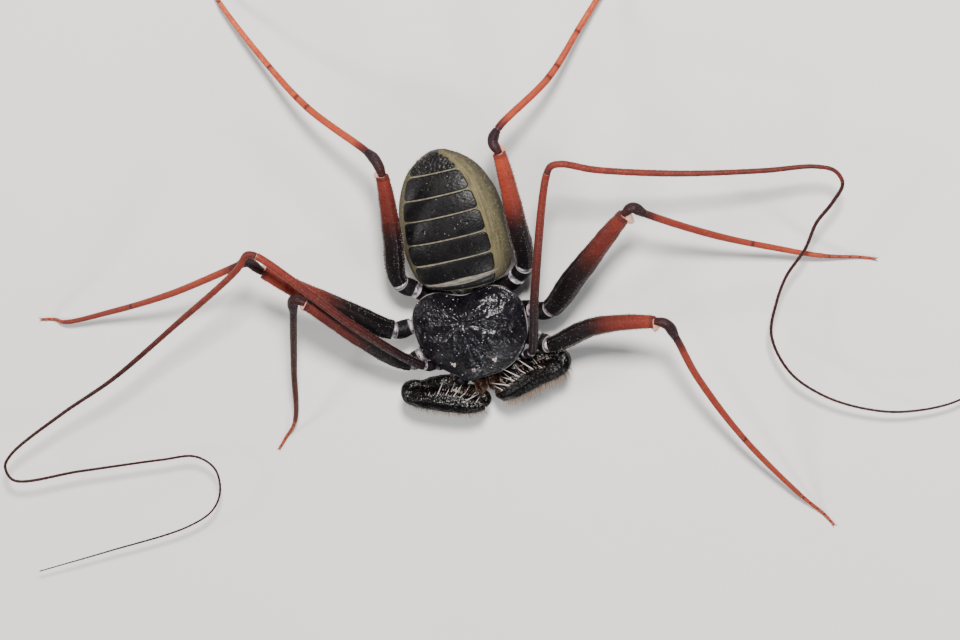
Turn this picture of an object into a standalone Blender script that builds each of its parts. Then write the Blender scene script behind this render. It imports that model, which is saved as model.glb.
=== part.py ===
"""Tailless whip scorpion, life size, standing still: one closed solid for each part of the animal.

Sizes are in millimetres and become metres where a mesh is made. The animal faces -Y, its left side
is +X, and its walking feet stand on z = 0. Up to the last step its own middle line is x = 0.
"""
import math

import bmesh
import bpy
from mathutils import Vector

MM = 0.001
UP = Vector((0.0, 0.0, 1.0))
SIDES = {"right": -1.0, "left": 1.0}

# Gap that each part keeps to the part it grows from
JOINT_GAP = 0.3

# Carapace: a kidney-shaped low dome, notched behind
CARAPACE_HALF_WIDTH = 6.3
CARAPACE_WIDEST_Y = -0.9
CARAPACE_FRONT_LENGTH = 6.3
CARAPACE_REAR_LENGTH = 4.5
CARAPACE_NOTCH_DEPTH = 1.25
CARAPACE_NOTCH_WIDTH = 1.7
CARAPACE_FLOOR_Z = 5.8
CARAPACE_RIM_Z = 6.32
CARAPACE_DOME = 2.55
FOVEA_Y = 0.1
EYE_HILL_Y = -5.55
EYE_HILL_HEIGHT = 0.42
LATERAL_EYES = (2.3, -4.75)
EYE_RADIUS = 0.24

# Underbody: the breast plate with the coxae of the legs around it
UNDERBODY_TOP_Z = 5.5
UNDERBODY_FLOOR_Z = 3.1
UNDERBODY_STATIONS = ((-6.1, 2.2), (-5.2, 3.2), (-3.4, 4.4), (-0.8, 5.0), (1.2, 4.5), (2.4, 3.0))
COXA_RADIUS = 0.92

# Abdomen: y, half width, top and underside at the plate borders, from the waist to the tip
ABDOMEN_STATIONS = (
    (3.95, 2.6, 6.75, 4.5),
    (4.35, 4.2, 7.55, 3.9),
    (5.1, 5.2, 8.1, 3.5),
    (7.1, 5.75, 8.6, 3.1),
    (9.5, 5.88, 8.75, 3.0),
    (12.0, 5.65, 8.45, 3.1),
    (14.15, 5.1, 7.9, 3.4),
    (16.45, 3.85, 7.0, 3.95),
    (17.75, 2.3, 6.35, 4.4),
    (18.35, 1.05, 5.95, 4.7),
)
ABDOMEN_OFFSET_X = 0.5
# How far the front of the abdomen leans forward over the waist, per mm of height, and where that ends
ABDOMEN_LEAN = 0.5
ABDOMEN_LEAN_END_Y = 7.1
PLATE_HEIGHT = 0.16
PLATE_GROOVE = 0.22
PLATE_SHARE = 0.76

CHELICERA_ROUTE = ((0.72, -6.6, 4.85), (0.74, -7.5, 4.98), (0.72, -8.3, 4.8), (0.66, -8.75, 4.35))

# Pedipalps, folded in front of the carapace: a route from the coxa to the tip of the claw for each
# side. The left one is held closer to the body.
PALP_ROUTES = {
    "right": (
        (2.45, -6.4, 4.4),
        (3.1, -7.0, 4.55),
        (3.85, -7.4, 4.7),
        (5.8, -7.5, 4.88),
        (7.4, -7.4, 4.9),
        (8.25, -7.3, 4.92),
        (8.9, -7.65, 5.05),
        (8.9, -8.35, 5.25),
        (8.2, -8.72, 5.36),
        (5.4, -9.45, 5.4),
        (3.6, -10.05, 5.25),
        (2.0, -10.55, 5.05),
        (1.1, -10.6, 4.75),
        (0.8, -10.2, 4.3),
        (1.1, -9.6, 3.85),
        (2.0, -9.0, 3.5),
        (3.3, -8.6, 3.35),
    ),
    "left": (
        (2.45, -6.4, 4.4),
        (3.1, -6.85, 4.45),
        (3.9, -6.85, 4.45),
        (5.5, -6.4, 4.4),
        (7.2, -6.15, 4.4),
        (8.1, -5.96, 4.45),
        (8.8, -6.33, 4.62),
        (8.8, -7.1, 4.94),
        (8.1, -7.46, 5.11),
        (5.7, -8.05, 5.2),
        (3.8, -8.85, 5.2),
        (2.1, -9.6, 5.0),
        (1.35, -9.9, 4.7),
        (1.0, -9.75, 4.2),
        (1.2, -9.25, 3.7),
        (2.0, -8.7, 3.35),
        (3.2, -8.3, 3.2),
    ),
}
PALP_JOINTS = {"trochanter": 0, "femur": 2, "patella": 4, "hand": 12}
# Share of the patella's length, spine length, and lean: towards the middle line, backward, upward
PATELLA_SPINES = (
    (0.45, 0.7, (-0.45, 0.6, 0.65)),
    (0.53, 2.3, (-0.6, 0.65, 0.47)),
    (0.62, 1.3, (-0.6, 0.6, 0.53)),
    (0.7, 2.5, (-0.65, 0.6, 0.47)),
    (0.77, 1.2, (-0.65, 0.55, 0.5)),
    (0.83, 2.2, (-0.8, 0.45, 0.4)),
    (0.92, 1.5, (-0.85, 0.35, 0.4)),
)
FEMUR_SPINES = (
    (0.15, 0.6, (-0.3, 0.1, 0.95)),
    (0.8, 0.5, (-0.3, 0.1, 0.95)),
)

# Walking legs, of the animal's right (-X) and left (+X) side. Each route runs from the end of the
# coxa over the hip and knee down to the foot. The hips are the same on both sides, but for the
# hind pair, which sits a little to the left with the abdomen.
COXA_ENDS = {"leg_2": (6.4, -4.0, 4.7), "leg_3": (6.7, -0.55, 4.85), "leg_4": (5.6, 3.3, 4.85)}
HIPS = {"leg_2": (7.85, -4.6, 5.25), "leg_3": (8.5, -0.65, 5.6), "leg_4": (7.0, 4.7, 5.75)}
HIND_SHIFT_X = 0.2
KNEES = {
    "leg_2_right": ((-15.4, 5.9, 12.65), (-16.6, 6.4, 12.45), (-17.3, 4.8, 11.6)),
    "leg_3_right": ((-19.55, 9.75, 11.5), (-21.05, 11.05, 11.4), (-22.35, 10.65, 11.0)),
    "leg_4_right": ((-4.2, 18.3, 11.4), (-4.6, 20.0, 11.2), (-5.5, 20.9, 10.6)),
    "leg_2_left": ((21.2, -1.8, 10.9), (22.4, -2.3, 10.9), (22.9, -4.0, 10.3)),
    "leg_3_left": ((20.5, 10.3, 11.3), (21.5, 10.9, 11.2), (22.5, 9.95, 10.6)),
    "leg_4_left": ((9.0, 19.1, 12.1), (8.6, 20.3, 11.9), (9.2, 21.4, 11.3)),
}
SHINS = {
    "leg_2_right": ((-20.9, -3.5, 6.0), (-23.8, -10.8, 1.7)),
    "leg_3_right": ((-32.2, 7.4, 7.2), (-41.8, 5.0, 3.1), (-47.9, 4.0, 1.1)),
    "leg_4_right": ((-11.9, 25.5, 7.0), (-16.4, 30.2, 3.8), (-20.9, 37.1, 1.3)),
    "leg_2_left": ((23.7, -9.4, 8.0), (26.5, -18.3, 4.5), (30.5, -26.5, 1.4)),
    "leg_3_left": ((28.1, 5.3, 6.2), (33.5, 2.0, 3.0), (38.1, -0.2, 1.1)),
    "leg_4_left": ((14.5, 24.9, 7.0), (18.3, 29.2, 3.4), (22.7, 34.1, 1.1)),
}
FEET = {
    "leg_2_right": (-27.0, -14.4),
    "leg_3_right": (-51.0, 4.4),
    "leg_4_right": (-22.7, 40.5),
    "leg_2_left": (33.3, -31.0),
    "leg_3_left": (43.3, -1.6),
    "leg_4_left": (26.3, 38.2),
}
# How far the middle of each femur bows out from the straight line between hip and knee
FEMUR_BOWS = {
    "leg_2_right": (-0.05, -0.05, 0.65),
    "leg_3_right": (-0.05, -0.05, 0.7),
    "leg_4_right": (0.2, 0.0, 0.6),
    "leg_2_left": (0.3, 1.2, 0.8),
    "leg_3_left": (0.0, 0.0, 0.9),
    "leg_4_left": (0.35, 0.0, 0.6),
}
FEMUR_WIDTHS = {"leg_2": (1.05, 0.68), "leg_3": (1.28, 0.76), "leg_4": (1.1, 0.7)}
PATELLA_RADIUS = 0.62
TIBIA_RADII = (0.43, 0.29)
TARSUS_RADII = (0.3, 0.25)
FOOT_AXIS_Z = 0.17
FOOT_LENGTH = 1.6

# Feelers: the first pair of legs, drawn out to long whips that are held in the air
FEELER_COXA_END = (5.05, -5.3, 5.2)
FEELER_HIP = (6.1, -4.75, 6.5)
FEELER_KNEES = {
    "right": ((-18.2, 12.9, 16.1), (-19.1, 13.2, 16.15), (-20.8, 11.6, 15.6)),
    "left": ((14.3, 16.9, 14.8), (14.9, 17.6, 14.8), (15.9, 17.6, 14.5)),
}
FEELER_TIBIAE = {
    "right": ((-31.4, 4.8, 11.4), (-40.6, -0.8, 9.1), (-48.3, -4.6, 7.4)),
    "left": ((19.0, 16.1, 13.2), (26.9, 13.7, 10.6), (35.1, 12.1, 8.4), (40.3, 11.4, 7.2)),
}
FEELER_TARSI = {
    "right": (
        (-56.4, -9.2, 5.7),
        (-57.6, -10.7, 5.4),
        (-57.1, -12.4, 5.2),
        (-49.1, -12.5, 4.7),
        (-39.5, -12.5, 4.3),
        (-35.4, -12.7, 4.1),
        (-33.6, -14.4, 4.0),
        (-33.7, -17.2, 3.8),
        (-35.2, -19.4, 3.7),
        (-38.7, -21.1, 3.5),
        (-49.2, -23.1, 3.1),
        (-58.2, -24.7, 2.6),
    ),
    "left": (
        (42.1, 10.5, 6.7),
        (42.6, 9.0, 6.5),
        (41.1, 7.0, 6.2),
        (39.0, 5.0, 5.9),
        (37.2, 2.2, 5.4),
        (34.6, -0.6, 5.0),
        (33.0, -3.3, 4.7),
        (31.6, -7.2, 4.3),
        (32.7, -11.6, 4.0),
        (35.5, -14.7, 3.6),
        (39.4, -16.9, 3.2),
        (43.8, -18.0, 2.9),
        (50.0, -17.4, 2.7),
        (55.0, -14.0, 2.6),
        (58.5, -8.8, 2.5),
        (60.2, -3.0, 2.4),
        (60.4, 1.5, 2.3),
    ),
}
FEELER_ARCH = (0.15, 0.15, 1.8)
FEELER_TIBIA_LENGTH = 31.0
FEELER_FEMUR_RADII = (0.48, 0.42)
FEELER_TIBIA_RADII = (0.34, 0.28)
FEELER_TARSUS_RADII = (0.28, 0.25, 0.25, 0.16)

# Colours: name, base colour, roughness
COLOURS = {
    "carapace": ((0.018, 0.024, 0.045), 0.35),
    "eye": ((0.006, 0.006, 0.009), 0.12),
    "underbody": ((0.06, 0.035, 0.035), 0.5),
    "chelicera": ((0.055, 0.018, 0.014), 0.35),
    "pedicel": ((0.32, 0.27, 0.2), 0.6),
    "abdomen": ((0.035, 0.04, 0.026), 0.5),
    "palp": ((0.014, 0.014, 0.02), 0.3),
    "trochanter": ((0.03, 0.025, 0.035), 0.4),
    "femur": ((0.16, 0.035, 0.016), 0.4),
    "patella": ((0.05, 0.022, 0.03), 0.4),
    "tibia": ((0.26, 0.07, 0.03), 0.45),
    "tarsus": ((0.42, 0.15, 0.05), 0.5),
    "feeler": ((0.1, 0.035, 0.022), 0.5),
    "whip": ((0.16, 0.1, 0.07), 0.6),
}


def clear_scene():
    for old in list(bpy.data.objects):
        bpy.data.objects.remove(old, do_unlink=True)


def mirrored(point, side):
    """The same point on the animal's left (+1) or right (-1) side."""
    return Vector((point[0] * side, point[1], point[2]))


def smooth_step(value):
    value = min(max(value, 0.0), 1.0)
    return value * value * (3.0 - 2.0 * value)


def route(points, step=0.2):
    """A smooth curve through the points (centripetal Catmull-Rom), as a line of even steps."""
    knots = [Vector(p) for p in points]
    knots = [2 * knots[0] - knots[1]] + knots + [2 * knots[-1] - knots[-2]]
    fine = []
    for p0, p1, p2, p3 in zip(knots, knots[1:], knots[2:], knots[3:]):
        t1 = math.sqrt((p1 - p0).length)
        t2 = t1 + math.sqrt((p2 - p1).length)
        t3 = t2 + math.sqrt((p3 - p2).length)
        count = max(2, int((p2 - p1).length / step))
        for i in range(count):
            t = t1 + (t2 - t1) * i / count
            a1 = p0.lerp(p1, t / t1)
            a2 = p1.lerp(p2, (t - t1) / (t2 - t1))
            a3 = p2.lerp(p3, (t - t2) / (t3 - t2))
            b1 = a1.lerp(a2, t / t2)
            b2 = a2.lerp(a3, (t - t1) / (t3 - t1))
            fine.append(b1.lerp(b2, (t - t1) / (t2 - t1)))
    fine.append(knots[-2])
    return fine


def lengths(path):
    """Distance run at each point of a path."""
    run = [0.0]
    for a, b in zip(path, path[1:]):
        run.append(run[-1] + (b - a).length)
    return run


def nearest(path, point):
    """Distance run where the path comes closest to a point."""
    run = lengths(path)
    target = Vector(point)
    return min(zip(path, run), key=lambda pair: (pair[0] - target).length)[1]


def at(path, run, distance):
    """The point of the path at a distance run."""
    for i in range(1, len(path)):
        if run[i] >= distance:
            share = (distance - run[i - 1]) / max(run[i] - run[i - 1], 1e-9)
            return path[i - 1].lerp(path[i], share)
    return path[-1].copy()


def heading_at(path, run, distance):
    """Direction of the path at a distance run."""
    ahead = at(path, run, min(distance + 0.15, run[-1]))
    behind = at(path, run, max(distance - 0.15, 0.0))
    return (ahead - behind).normalized()


def cut(path, start, end, longest=2.4, turn=0.26):
    """Stations (point, heading) of a path between two distances, close together only where it bends."""
    run = lengths(path)
    stations = [(at(path, run, start), heading_at(path, run, start))]
    last = start
    d = start
    while d < end - 0.3:
        d += 0.1
        heading = heading_at(path, run, d)
        if heading.angle(stations[-1][1]) > turn or d - last > longest:
            stations.append((at(path, run, d), heading))
            last = d
    stations.append((at(path, run, end), heading_at(path, run, end)))
    return stations


def straight(*points):
    """Stations through a few points, headed from each to the next."""
    stations = []
    for i, point in enumerate(points):
        ahead = points[min(i + 1, len(points) - 1)]
        behind = points[max(i - 1, 0)]
        stations.append((point, (ahead - behind).normalized()))
    return stations


def material(name, kind):
    colour, roughness = COLOURS[kind]
    made = bpy.data.materials.new(name)
    made.use_nodes = True
    shader = made.node_tree.nodes["Principled BSDF"]
    shader.inputs["Base Color"].default_value = (*colour, 1.0)
    shader.inputs["Roughness"].default_value = roughness
    shader.inputs["Metallic"].default_value = 0.0
    return made


def new_object(name, bm, kind):
    """Object from a bmesh in millimetres, with its faces turned outward."""
    bmesh.ops.recalc_face_normals(bm, faces=bm.faces)
    bmesh.ops.scale(bm, vec=(MM, MM, MM), verts=bm.verts)
    mesh = bpy.data.meshes.new(name)
    bm.to_mesh(mesh)
    bm.free()
    mesh.shade_smooth()
    mesh.set_sharp_from_angle(angle=math.radians(50))
    made = bpy.data.objects.new(name, mesh)
    bpy.context.scene.collection.objects.link(made)
    if kind:
        mesh.materials.append(material(name, kind))
    return made


def skin(bm, rings):
    """Closed skin over rings of equal counts, with a fan at each end."""
    loops = [[bm.verts.new(p) for p in ring] for ring in rings]
    count = len(loops[0])
    for a, b in zip(loops, loops[1:]):
        for i in range(count):
            j = (i + 1) % count
            bm.faces.new((a[i], a[j], b[j], b[i]))
    for loop in (loops[0], loops[-1]):
        middle = bm.verts.new(sum((v.co for v in loop), Vector()) / count)
        for i in range(count):
            bm.faces.new((loop[i], loop[(i + 1) % count], middle))


def oval(point, side, up, half_width, half_height, count, phase=0.5):
    ring = []
    for i in range(count):
        angle = 2 * math.pi * (i + phase) / count
        ring.append(point + side * (half_width * math.cos(angle)) + up * (half_height * math.sin(angle)))
    return ring


def limb(name, stations, radius, kind, sides=8, flatness=1.0, floor=None, rounding=0.3):
    """Tube of oval section. radius(share) is the half width, flatness the height to width ratio."""
    run = lengths([point for point, heading in stations])
    rings = []
    for i, (point, heading) in enumerate(stations):
        r = radius(run[i] / run[-1])
        side = heading.cross(UP).normalized()
        up = side.cross(heading).normalized()
        if i in (0, len(stations) - 1):
            inward = heading if i == 0 else -heading
            cap = oval(point, side, up, r * 0.78, r * 0.78 * flatness, sides)
            shoulder = oval(point + inward * (r * rounding), side, up, r, r * flatness, sides)
            rings.extend((cap, shoulder) if i == 0 else (shoulder, cap))
        else:
            rings.append(oval(point, side, up, r, r * flatness, sides))
    if floor is not None:
        for ring in rings:
            for p in ring:
                p.z = max(p.z, floor)
    bm = bmesh.new()
    skin(bm, rings)
    return new_object(name, bm, kind)


def taper(*radii):
    """Radius along a limb, from its values at even stations."""
    def radius(share):
        place = min(share, 0.99999) * (len(radii) - 1)
        index = int(place)
        return radii[index] + (radii[index + 1] - radii[index]) * smooth_step(place - index)
    return radius


def spine(base, lean, length, radius, sides=5):
    """A slightly curved thorn, closed, its root sunk in the part that bears it."""
    lean = Vector(lean).normalized()
    side = lean.cross(UP).normalized()
    across = side.cross(lean)
    root = oval(base - lean * (radius * 0.9), side, across, radius, radius, sides)
    middle = oval(base + lean * (length * 0.45), side, across, radius * 0.62, radius * 0.62, sides)
    tip = oval(base + lean * length - across * (length * 0.06), side, across, 0.05, 0.05, sides)
    bm = bmesh.new()
    skin(bm, [root, middle, tip])
    return new_object("spine", bm, None)


def keep_largest(mesh):
    """Leaves only the largest connected surface of a mesh."""
    bm = bmesh.new()
    bm.from_mesh(mesh)
    bm.verts.ensure_lookup_table()
    unseen = set(bm.verts)
    groups = []
    while unseen:
        stack = [unseen.pop()]
        group = set(stack)
        while stack:
            for edge in stack.pop().link_edges:
                for vert in edge.verts:
                    if vert in unseen:
                        unseen.discard(vert)
                        group.add(vert)
                        stack.append(vert)
        groups.append(group)
    largest = max(groups, key=len)
    bmesh.ops.delete(bm, geom=[v for v in bm.verts if v not in largest], context="VERTS")
    bmesh.ops.dissolve_degenerate(bm, dist=1e-6, edges=bm.edges)
    bmesh.ops.triangulate(bm, faces=bm.faces)
    bm.to_mesh(mesh)
    bm.free()


def fuse(body, pieces):
    """One Boolean union of a body with all its small pieces."""
    if not pieces:
        return body
    group = bpy.data.collections.new(body.name + "_pieces")
    bpy.context.scene.collection.children.link(group)
    for piece in pieces:
        bpy.context.scene.collection.objects.unlink(piece)
        group.objects.link(piece)
    union = body.modifiers.new("union", "BOOLEAN")
    union.operation = "UNION"
    union.operand_type = "COLLECTION"
    union.collection = group
    union.solver = "EXACT"
    bpy.context.view_layer.update()
    depsgraph = bpy.context.evaluated_depsgraph_get()
    joined = bpy.data.meshes.new_from_object(body.evaluated_get(depsgraph))
    body.modifiers.clear()
    body.data = joined
    keep_largest(joined)
    joined.shade_smooth()
    joined.set_sharp_from_angle(angle=math.radians(50))
    for piece in pieces:
        bpy.data.objects.remove(piece, do_unlink=True)
    bpy.data.collections.remove(group)
    return body


def carapace_edge(angle):
    """Outline point at an angle from straight ahead, with full lobes and a notch behind."""
    sine, cosine = math.sin(angle), math.cos(angle)
    front = cosine > 0
    power = 2.0 / (2.05 if front else 2.8)
    x = CARAPACE_HALF_WIDTH * math.copysign(abs(sine) ** power, sine)
    reach = CARAPACE_FRONT_LENGTH if front else CARAPACE_REAR_LENGTH
    y = CARAPACE_WIDEST_Y - reach * math.copysign(abs(cosine) ** power, cosine)
    if not front:
        y -= CARAPACE_NOTCH_DEPTH * math.exp(-(x / CARAPACE_NOTCH_WIDTH) ** 2)
    return x, y


def carapace_height(x, y, share):
    """Top of the carapace. share is 0 at the fovea and 1 at the rim."""
    z = CARAPACE_RIM_Z + CARAPACE_DOME * (1.0 - share ** 2.3)
    z -= 0.35 * math.exp(-((x / 0.5) ** 2 + ((y - FOVEA_Y) / 0.6) ** 2))
    z += EYE_HILL_HEIGHT * math.exp(-((x / 0.55) ** 2 + ((y - EYE_HILL_Y) / 0.5) ** 2))
    heading = math.atan2(x, -(y - FOVEA_Y))
    for furrow in (0.55, 1.25, 1.95, 2.65):
        away = (abs(heading) - furrow) / 0.13
        z -= 0.2 * math.exp(-away * away) * 4.0 * share * (1.0 - share)
    return z


def build_carapace():
    spokes, circles = 56, 11
    bm = bmesh.new()
    rings = []
    for k in range(1, circles + 1):
        share = (k / circles) ** 0.85
        ring = []
        for i in range(spokes):
            x, y = carapace_edge(2 * math.pi * (i + 0.5) / spokes)
            x, y = x * share, FOVEA_Y + (y - FOVEA_Y) * share
            ring.append(Vector((x, y, carapace_height(x, y, share))))
        rings.append(ring)
    under = [Vector((p.x * 0.985, p.y * 0.985, CARAPACE_FLOOR_Z)) for p in rings[-1]]
    skin(bm, rings + [under])
    new_object("carapace", bm, "carapace")


def ball(name, centre, radii, kind, segments=12):
    bm = bmesh.new()
    bmesh.ops.create_uvsphere(bm, u_segments=segments, v_segments=max(5, segments // 2), radius=1.0)
    bmesh.ops.scale(bm, vec=radii, verts=bm.verts)
    bmesh.ops.translate(bm, vec=centre, verts=bm.verts)
    return new_object(name, bm, kind)


def carapace_share(x, y):
    """Where a point lies between the fovea (0) and the rim (1)."""
    best = 1.0
    closest = 1e9
    for i in range(180):
        ex, ey = carapace_edge(2 * math.pi * i / 180)
        reach = math.hypot(ex, ey - FOVEA_Y)
        here = math.hypot(x, y - FOVEA_Y)
        off = (Vector((ex, ey - FOVEA_Y)).normalized() * here - Vector((x, y - FOVEA_Y))).length
        if off < closest:
            closest = off
            best = here / reach
    return best


def build_eyes():
    for name, side in SIDES.items():
        x, y = 0.36 * side, EYE_HILL_Y - 0.02
        z = carapace_height(x, y, carapace_share(x, y)) + EYE_RADIUS * 1.5
        median = EYE_RADIUS * 0.9
        ball("eye_median_" + name, (x, y, z), (median, median, median), "eye", 10)
        ex, ey = LATERAL_EYES[0] * side, LATERAL_EYES[1]
        z = carapace_height(ex, ey, carapace_share(ex, ey)) + EYE_RADIUS * 1.5
        radii = (EYE_RADIUS, EYE_RADIUS, EYE_RADIUS * 0.8)
        group = [
            ball("eye", (ex + dx * side, ey + dy, z), radii, None, 8)
            for dx, dy in ((0.3, 0.05), (0.05, -0.3))
        ]
        first = ball("eyes_lateral_" + name, (ex, ey + 0.08, z), radii, "eye", 8)
        fuse(first, group)


def hip_places(pair, side):
    """End of the coxa and the hip of one leg."""
    shift = Vector((HIND_SHIFT_X if pair == "leg_4" else 0.0, 0.0, 0.0))
    return mirrored(COXA_ENDS[pair], side) + shift, mirrored(HIPS[pair], side) + shift


def build_underbody():
    middle_z = (UNDERBODY_TOP_Z + UNDERBODY_FLOOR_Z) / 2
    half = (UNDERBODY_TOP_Z - UNDERBODY_FLOOR_Z) / 2
    rings = []
    side, up = Vector((1, 0, 0)), UP
    for i, (y, half_width) in enumerate(UNDERBODY_STATIONS):
        end = i in (0, len(UNDERBODY_STATIONS) - 1)
        rings.append(oval(Vector((0, y, middle_z)), side, up, half_width, half * (0.8 if end else 1.0), 24))
    bm = bmesh.new()
    skin(bm, rings)
    body = new_object("underbody", bm, "underbody")
    lobes = []
    for side_name, side in SIDES.items():
        for name in COXA_ENDS:
            end, hip = hip_places(name, side)
            inner = Vector((end.x * 0.4, end.y * 0.6 - 0.2, middle_z))
            bend = end - (hip - end).normalized() * 0.9
            widths = taper(0.85, COXA_RADIUS, COXA_RADIUS)
            lobes.append(limb("coxa", straight(inner, bend, end), widths, None, 10, 0.85))
        end, hip = mirrored(FEELER_COXA_END, side), mirrored(FEELER_HIP, side)
        inner = mirrored((2.4, -3.4, middle_z), side)
        bend = end - (hip - end).normalized() * 0.7
        lobes.append(limb("coxa", straight(inner, bend, end), taper(0.7, 0.66, 0.5), None, 8))
        end, after = (mirrored(p, side) for p in PALP_ROUTES[side_name][:2])
        inner = mirrored((1.7, -4.4, 4.25), side)
        bend = end - (after - end).normalized() * 0.6
        lobes.append(limb("coxa", straight(inner, bend, end), taper(0.85, 0.85, 0.8), None, 10))
    return fuse(body, lobes)


def abdomen_profile(y):
    """Half width, top and underside of the abdomen at y."""
    stations = ABDOMEN_STATIONS
    for a, b in zip(stations, stations[1:]):
        if y <= b[0]:
            share = (y - a[0]) / (b[0] - a[0])
            return [a[i] + (b[i] - a[i]) * share for i in (1, 2, 3)]
    return list(stations[-1][1:])


def build_abdomen():
    """Flattened oval body; each plate stands up from the skin between a groove and the next."""
    count = 28
    rings = []
    borders = [s[0] for s in ABDOMEN_STATIONS]
    for index, (a, b) in enumerate(zip(borders, borders[1:])):
        if index == 0:
            marks = ((a, 0.0), (a + 0.12, 0.0))
        else:
            marks = ((a, 0.0), (a + PLATE_GROOVE, 1.0), ((a + b) / 2, 1.0), (b - PLATE_GROOVE * 0.6, 1.0))
        if b - a < 1.0 and index:
            marks = ((a, 0.0), (a + 0.2, 1.0), (b - 0.15, 1.0))
        for y, lift in marks:
            half_width, top, under = abdomen_profile(y)
            bulge = 0.12 * math.sin(math.pi * (y - a) / (b - a)) if index > 1 else 0.0
            half_width += bulge
            middle = Vector((ABDOMEN_OFFSET_X, y, (top + under) / 2))
            lean = ABDOMEN_LEAN * max(ABDOMEN_LEAN_END_Y - y, 0.0) / (ABDOMEN_LEAN_END_Y - borders[0])
            half = (top - under) / 2
            ring = []
            for i in range(count):
                angle = 2 * math.pi * (i + 0.5) / count
                cosine, sine = math.cos(angle), math.sin(angle)
                x = half_width * math.copysign(abs(cosine) ** 0.85, cosine)
                z = half * math.copysign(abs(sine) ** 0.9, sine)
                if sine > 0 and abs(x) < half_width * PLATE_SHARE:
                    z += PLATE_HEIGHT * lift
                if sine < 0 and abs(x) < half_width * PLATE_SHARE:
                    z -= PLATE_HEIGHT * 0.5 * lift
                ring.append(middle + Vector((x, -lean * z, z)))
            rings.append(ring)
    half_width, top, under = abdomen_profile(borders[-1])
    rings.append(oval(Vector((ABDOMEN_OFFSET_X, borders[-1], (top + under) / 2)),
                      Vector((1, 0, 0)), UP, half_width * 0.8, (top - under) / 2, count))
    bm = bmesh.new()
    skin(bm, rings)
    new_object("abdomen", bm, "abdomen")


def build_chelicerae():
    for name, side in SIDES.items():
        path = route([mirrored(p, side) for p in CHELICERA_ROUTE])
        run = lengths(path)[-1]
        widths = taper(0.5, 0.58, 0.52, 0.36)
        body = limb("chelicera_" + name, cut(path, 0.0, run, 0.8, 0.4), widths, "chelicera", 10, 1.15)
        fang = spine(mirrored((0.62, -8.75, 4.35), side), mirrored((-0.1, 0.45, -0.9), side), 0.9, 0.22, 6)
        fuse(body, [fang])


def build_palps():
    widths = {
        "trochanter": taper(0.66, 0.74, 0.56),
        "femur": taper(0.5, 0.58, 0.58, 0.5),
        "patella": taper(0.45, 0.56, 0.86, 0.97, 0.88, 0.56),
        "hand": taper(0.44, 0.44, 0.36, 0.1),
    }
    thorns = {"femur": FEMUR_SPINES, "patella": PATELLA_SPINES}
    for name, side in SIDES.items():
        points = [mirrored(p, side) for p in PALP_ROUTES[name]]
        path = route(points)
        run = lengths(path)
        starts = [nearest(path, points[index]) for index in PALP_JOINTS.values()] + [run[-1] + JOINT_GAP / 2]
        for piece, start, end in zip(PALP_JOINTS, starts, starts[1:]):
            start, end = start + JOINT_GAP / 2, end - JOINT_GAP / 2
            if piece == "trochanter":
                start += JOINT_GAP / 2
            stations = cut(path, start, end, 1.6, 0.42)
            body = limb("palp_%s_%s" % (piece, name), stations, widths[piece], "palp", 12)
            made = []
            for share, length, lean in thorns.get(piece, ()):
                lean = mirrored(lean, side).normalized()
                rise = (lean + UP).normalized() * (0.85 * widths[piece](share))
                base = at(path, run, start + (end - start) * share) + rise
                made.append(spine(base, lean, length, 0.2 + 0.04 * length))
            fuse(body, made)


def build_walking_legs():
    for name in KNEES:
        pair, side_name = name.rsplit("_", 1)
        side = SIDES[side_name]
        coxa_end, hip = hip_places(pair, side)
        knee, cap, shin = (Vector(p) for p in KNEES[name])
        bow = hip.lerp(knee, 0.45) + Vector(FEMUR_BOWS[name])
        foot = Vector((*FEET[name], FOOT_AXIS_Z))
        ankle = Vector(SHINS[name][-1])
        flat = foot + (Vector((ankle.x, ankle.y, FOOT_AXIS_Z)) - foot).normalized() * FOOT_LENGTH
        path = route([coxa_end, hip, bow, knee, cap, shin, *SHINS[name], flat, foot])
        hip_run = nearest(path, hip)
        knee_run = nearest(path, knee)
        shin_run = nearest(path, shin)
        ankle_run = nearest(path, ankle)
        end_run = lengths(path)[-1]
        limb(name + "_trochanter", cut(path, JOINT_GAP, hip_run - JOINT_GAP / 2, 0.7),
             taper(0.82, 0.95, 0.86), "trochanter", 10, 0.9)
        wide, narrow = FEMUR_WIDTHS[pair]
        limb(name + "_femur", cut(path, hip_run + JOINT_GAP * 0.7, knee_run - JOINT_GAP / 2),
             taper(wide * 0.85, wide, wide * 0.92, (wide + narrow) * 0.47, narrow), "femur", 10, 0.85)
        limb(name + "_patella", cut(path, knee_run + JOINT_GAP / 2, shin_run - JOINT_GAP / 2, 1.0, 0.4),
             taper(0.5, PATELLA_RADIUS, 0.42), "patella", 10)
        limb(name + "_tibia", cut(path, shin_run + JOINT_GAP / 2, ankle_run - JOINT_GAP / 2, 3.0, 0.2),
             taper(TIBIA_RADII[0], 0.4, 0.34, TIBIA_RADII[1]), "tibia", 8)
        limb(name + "_tarsus", cut(path, ankle_run + JOINT_GAP / 2, end_run, 2.0, 0.2),
             taper(TARSUS_RADII[0], 0.27, TARSUS_RADII[1]), "tarsus", 8, 1.0, 0.0)


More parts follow.
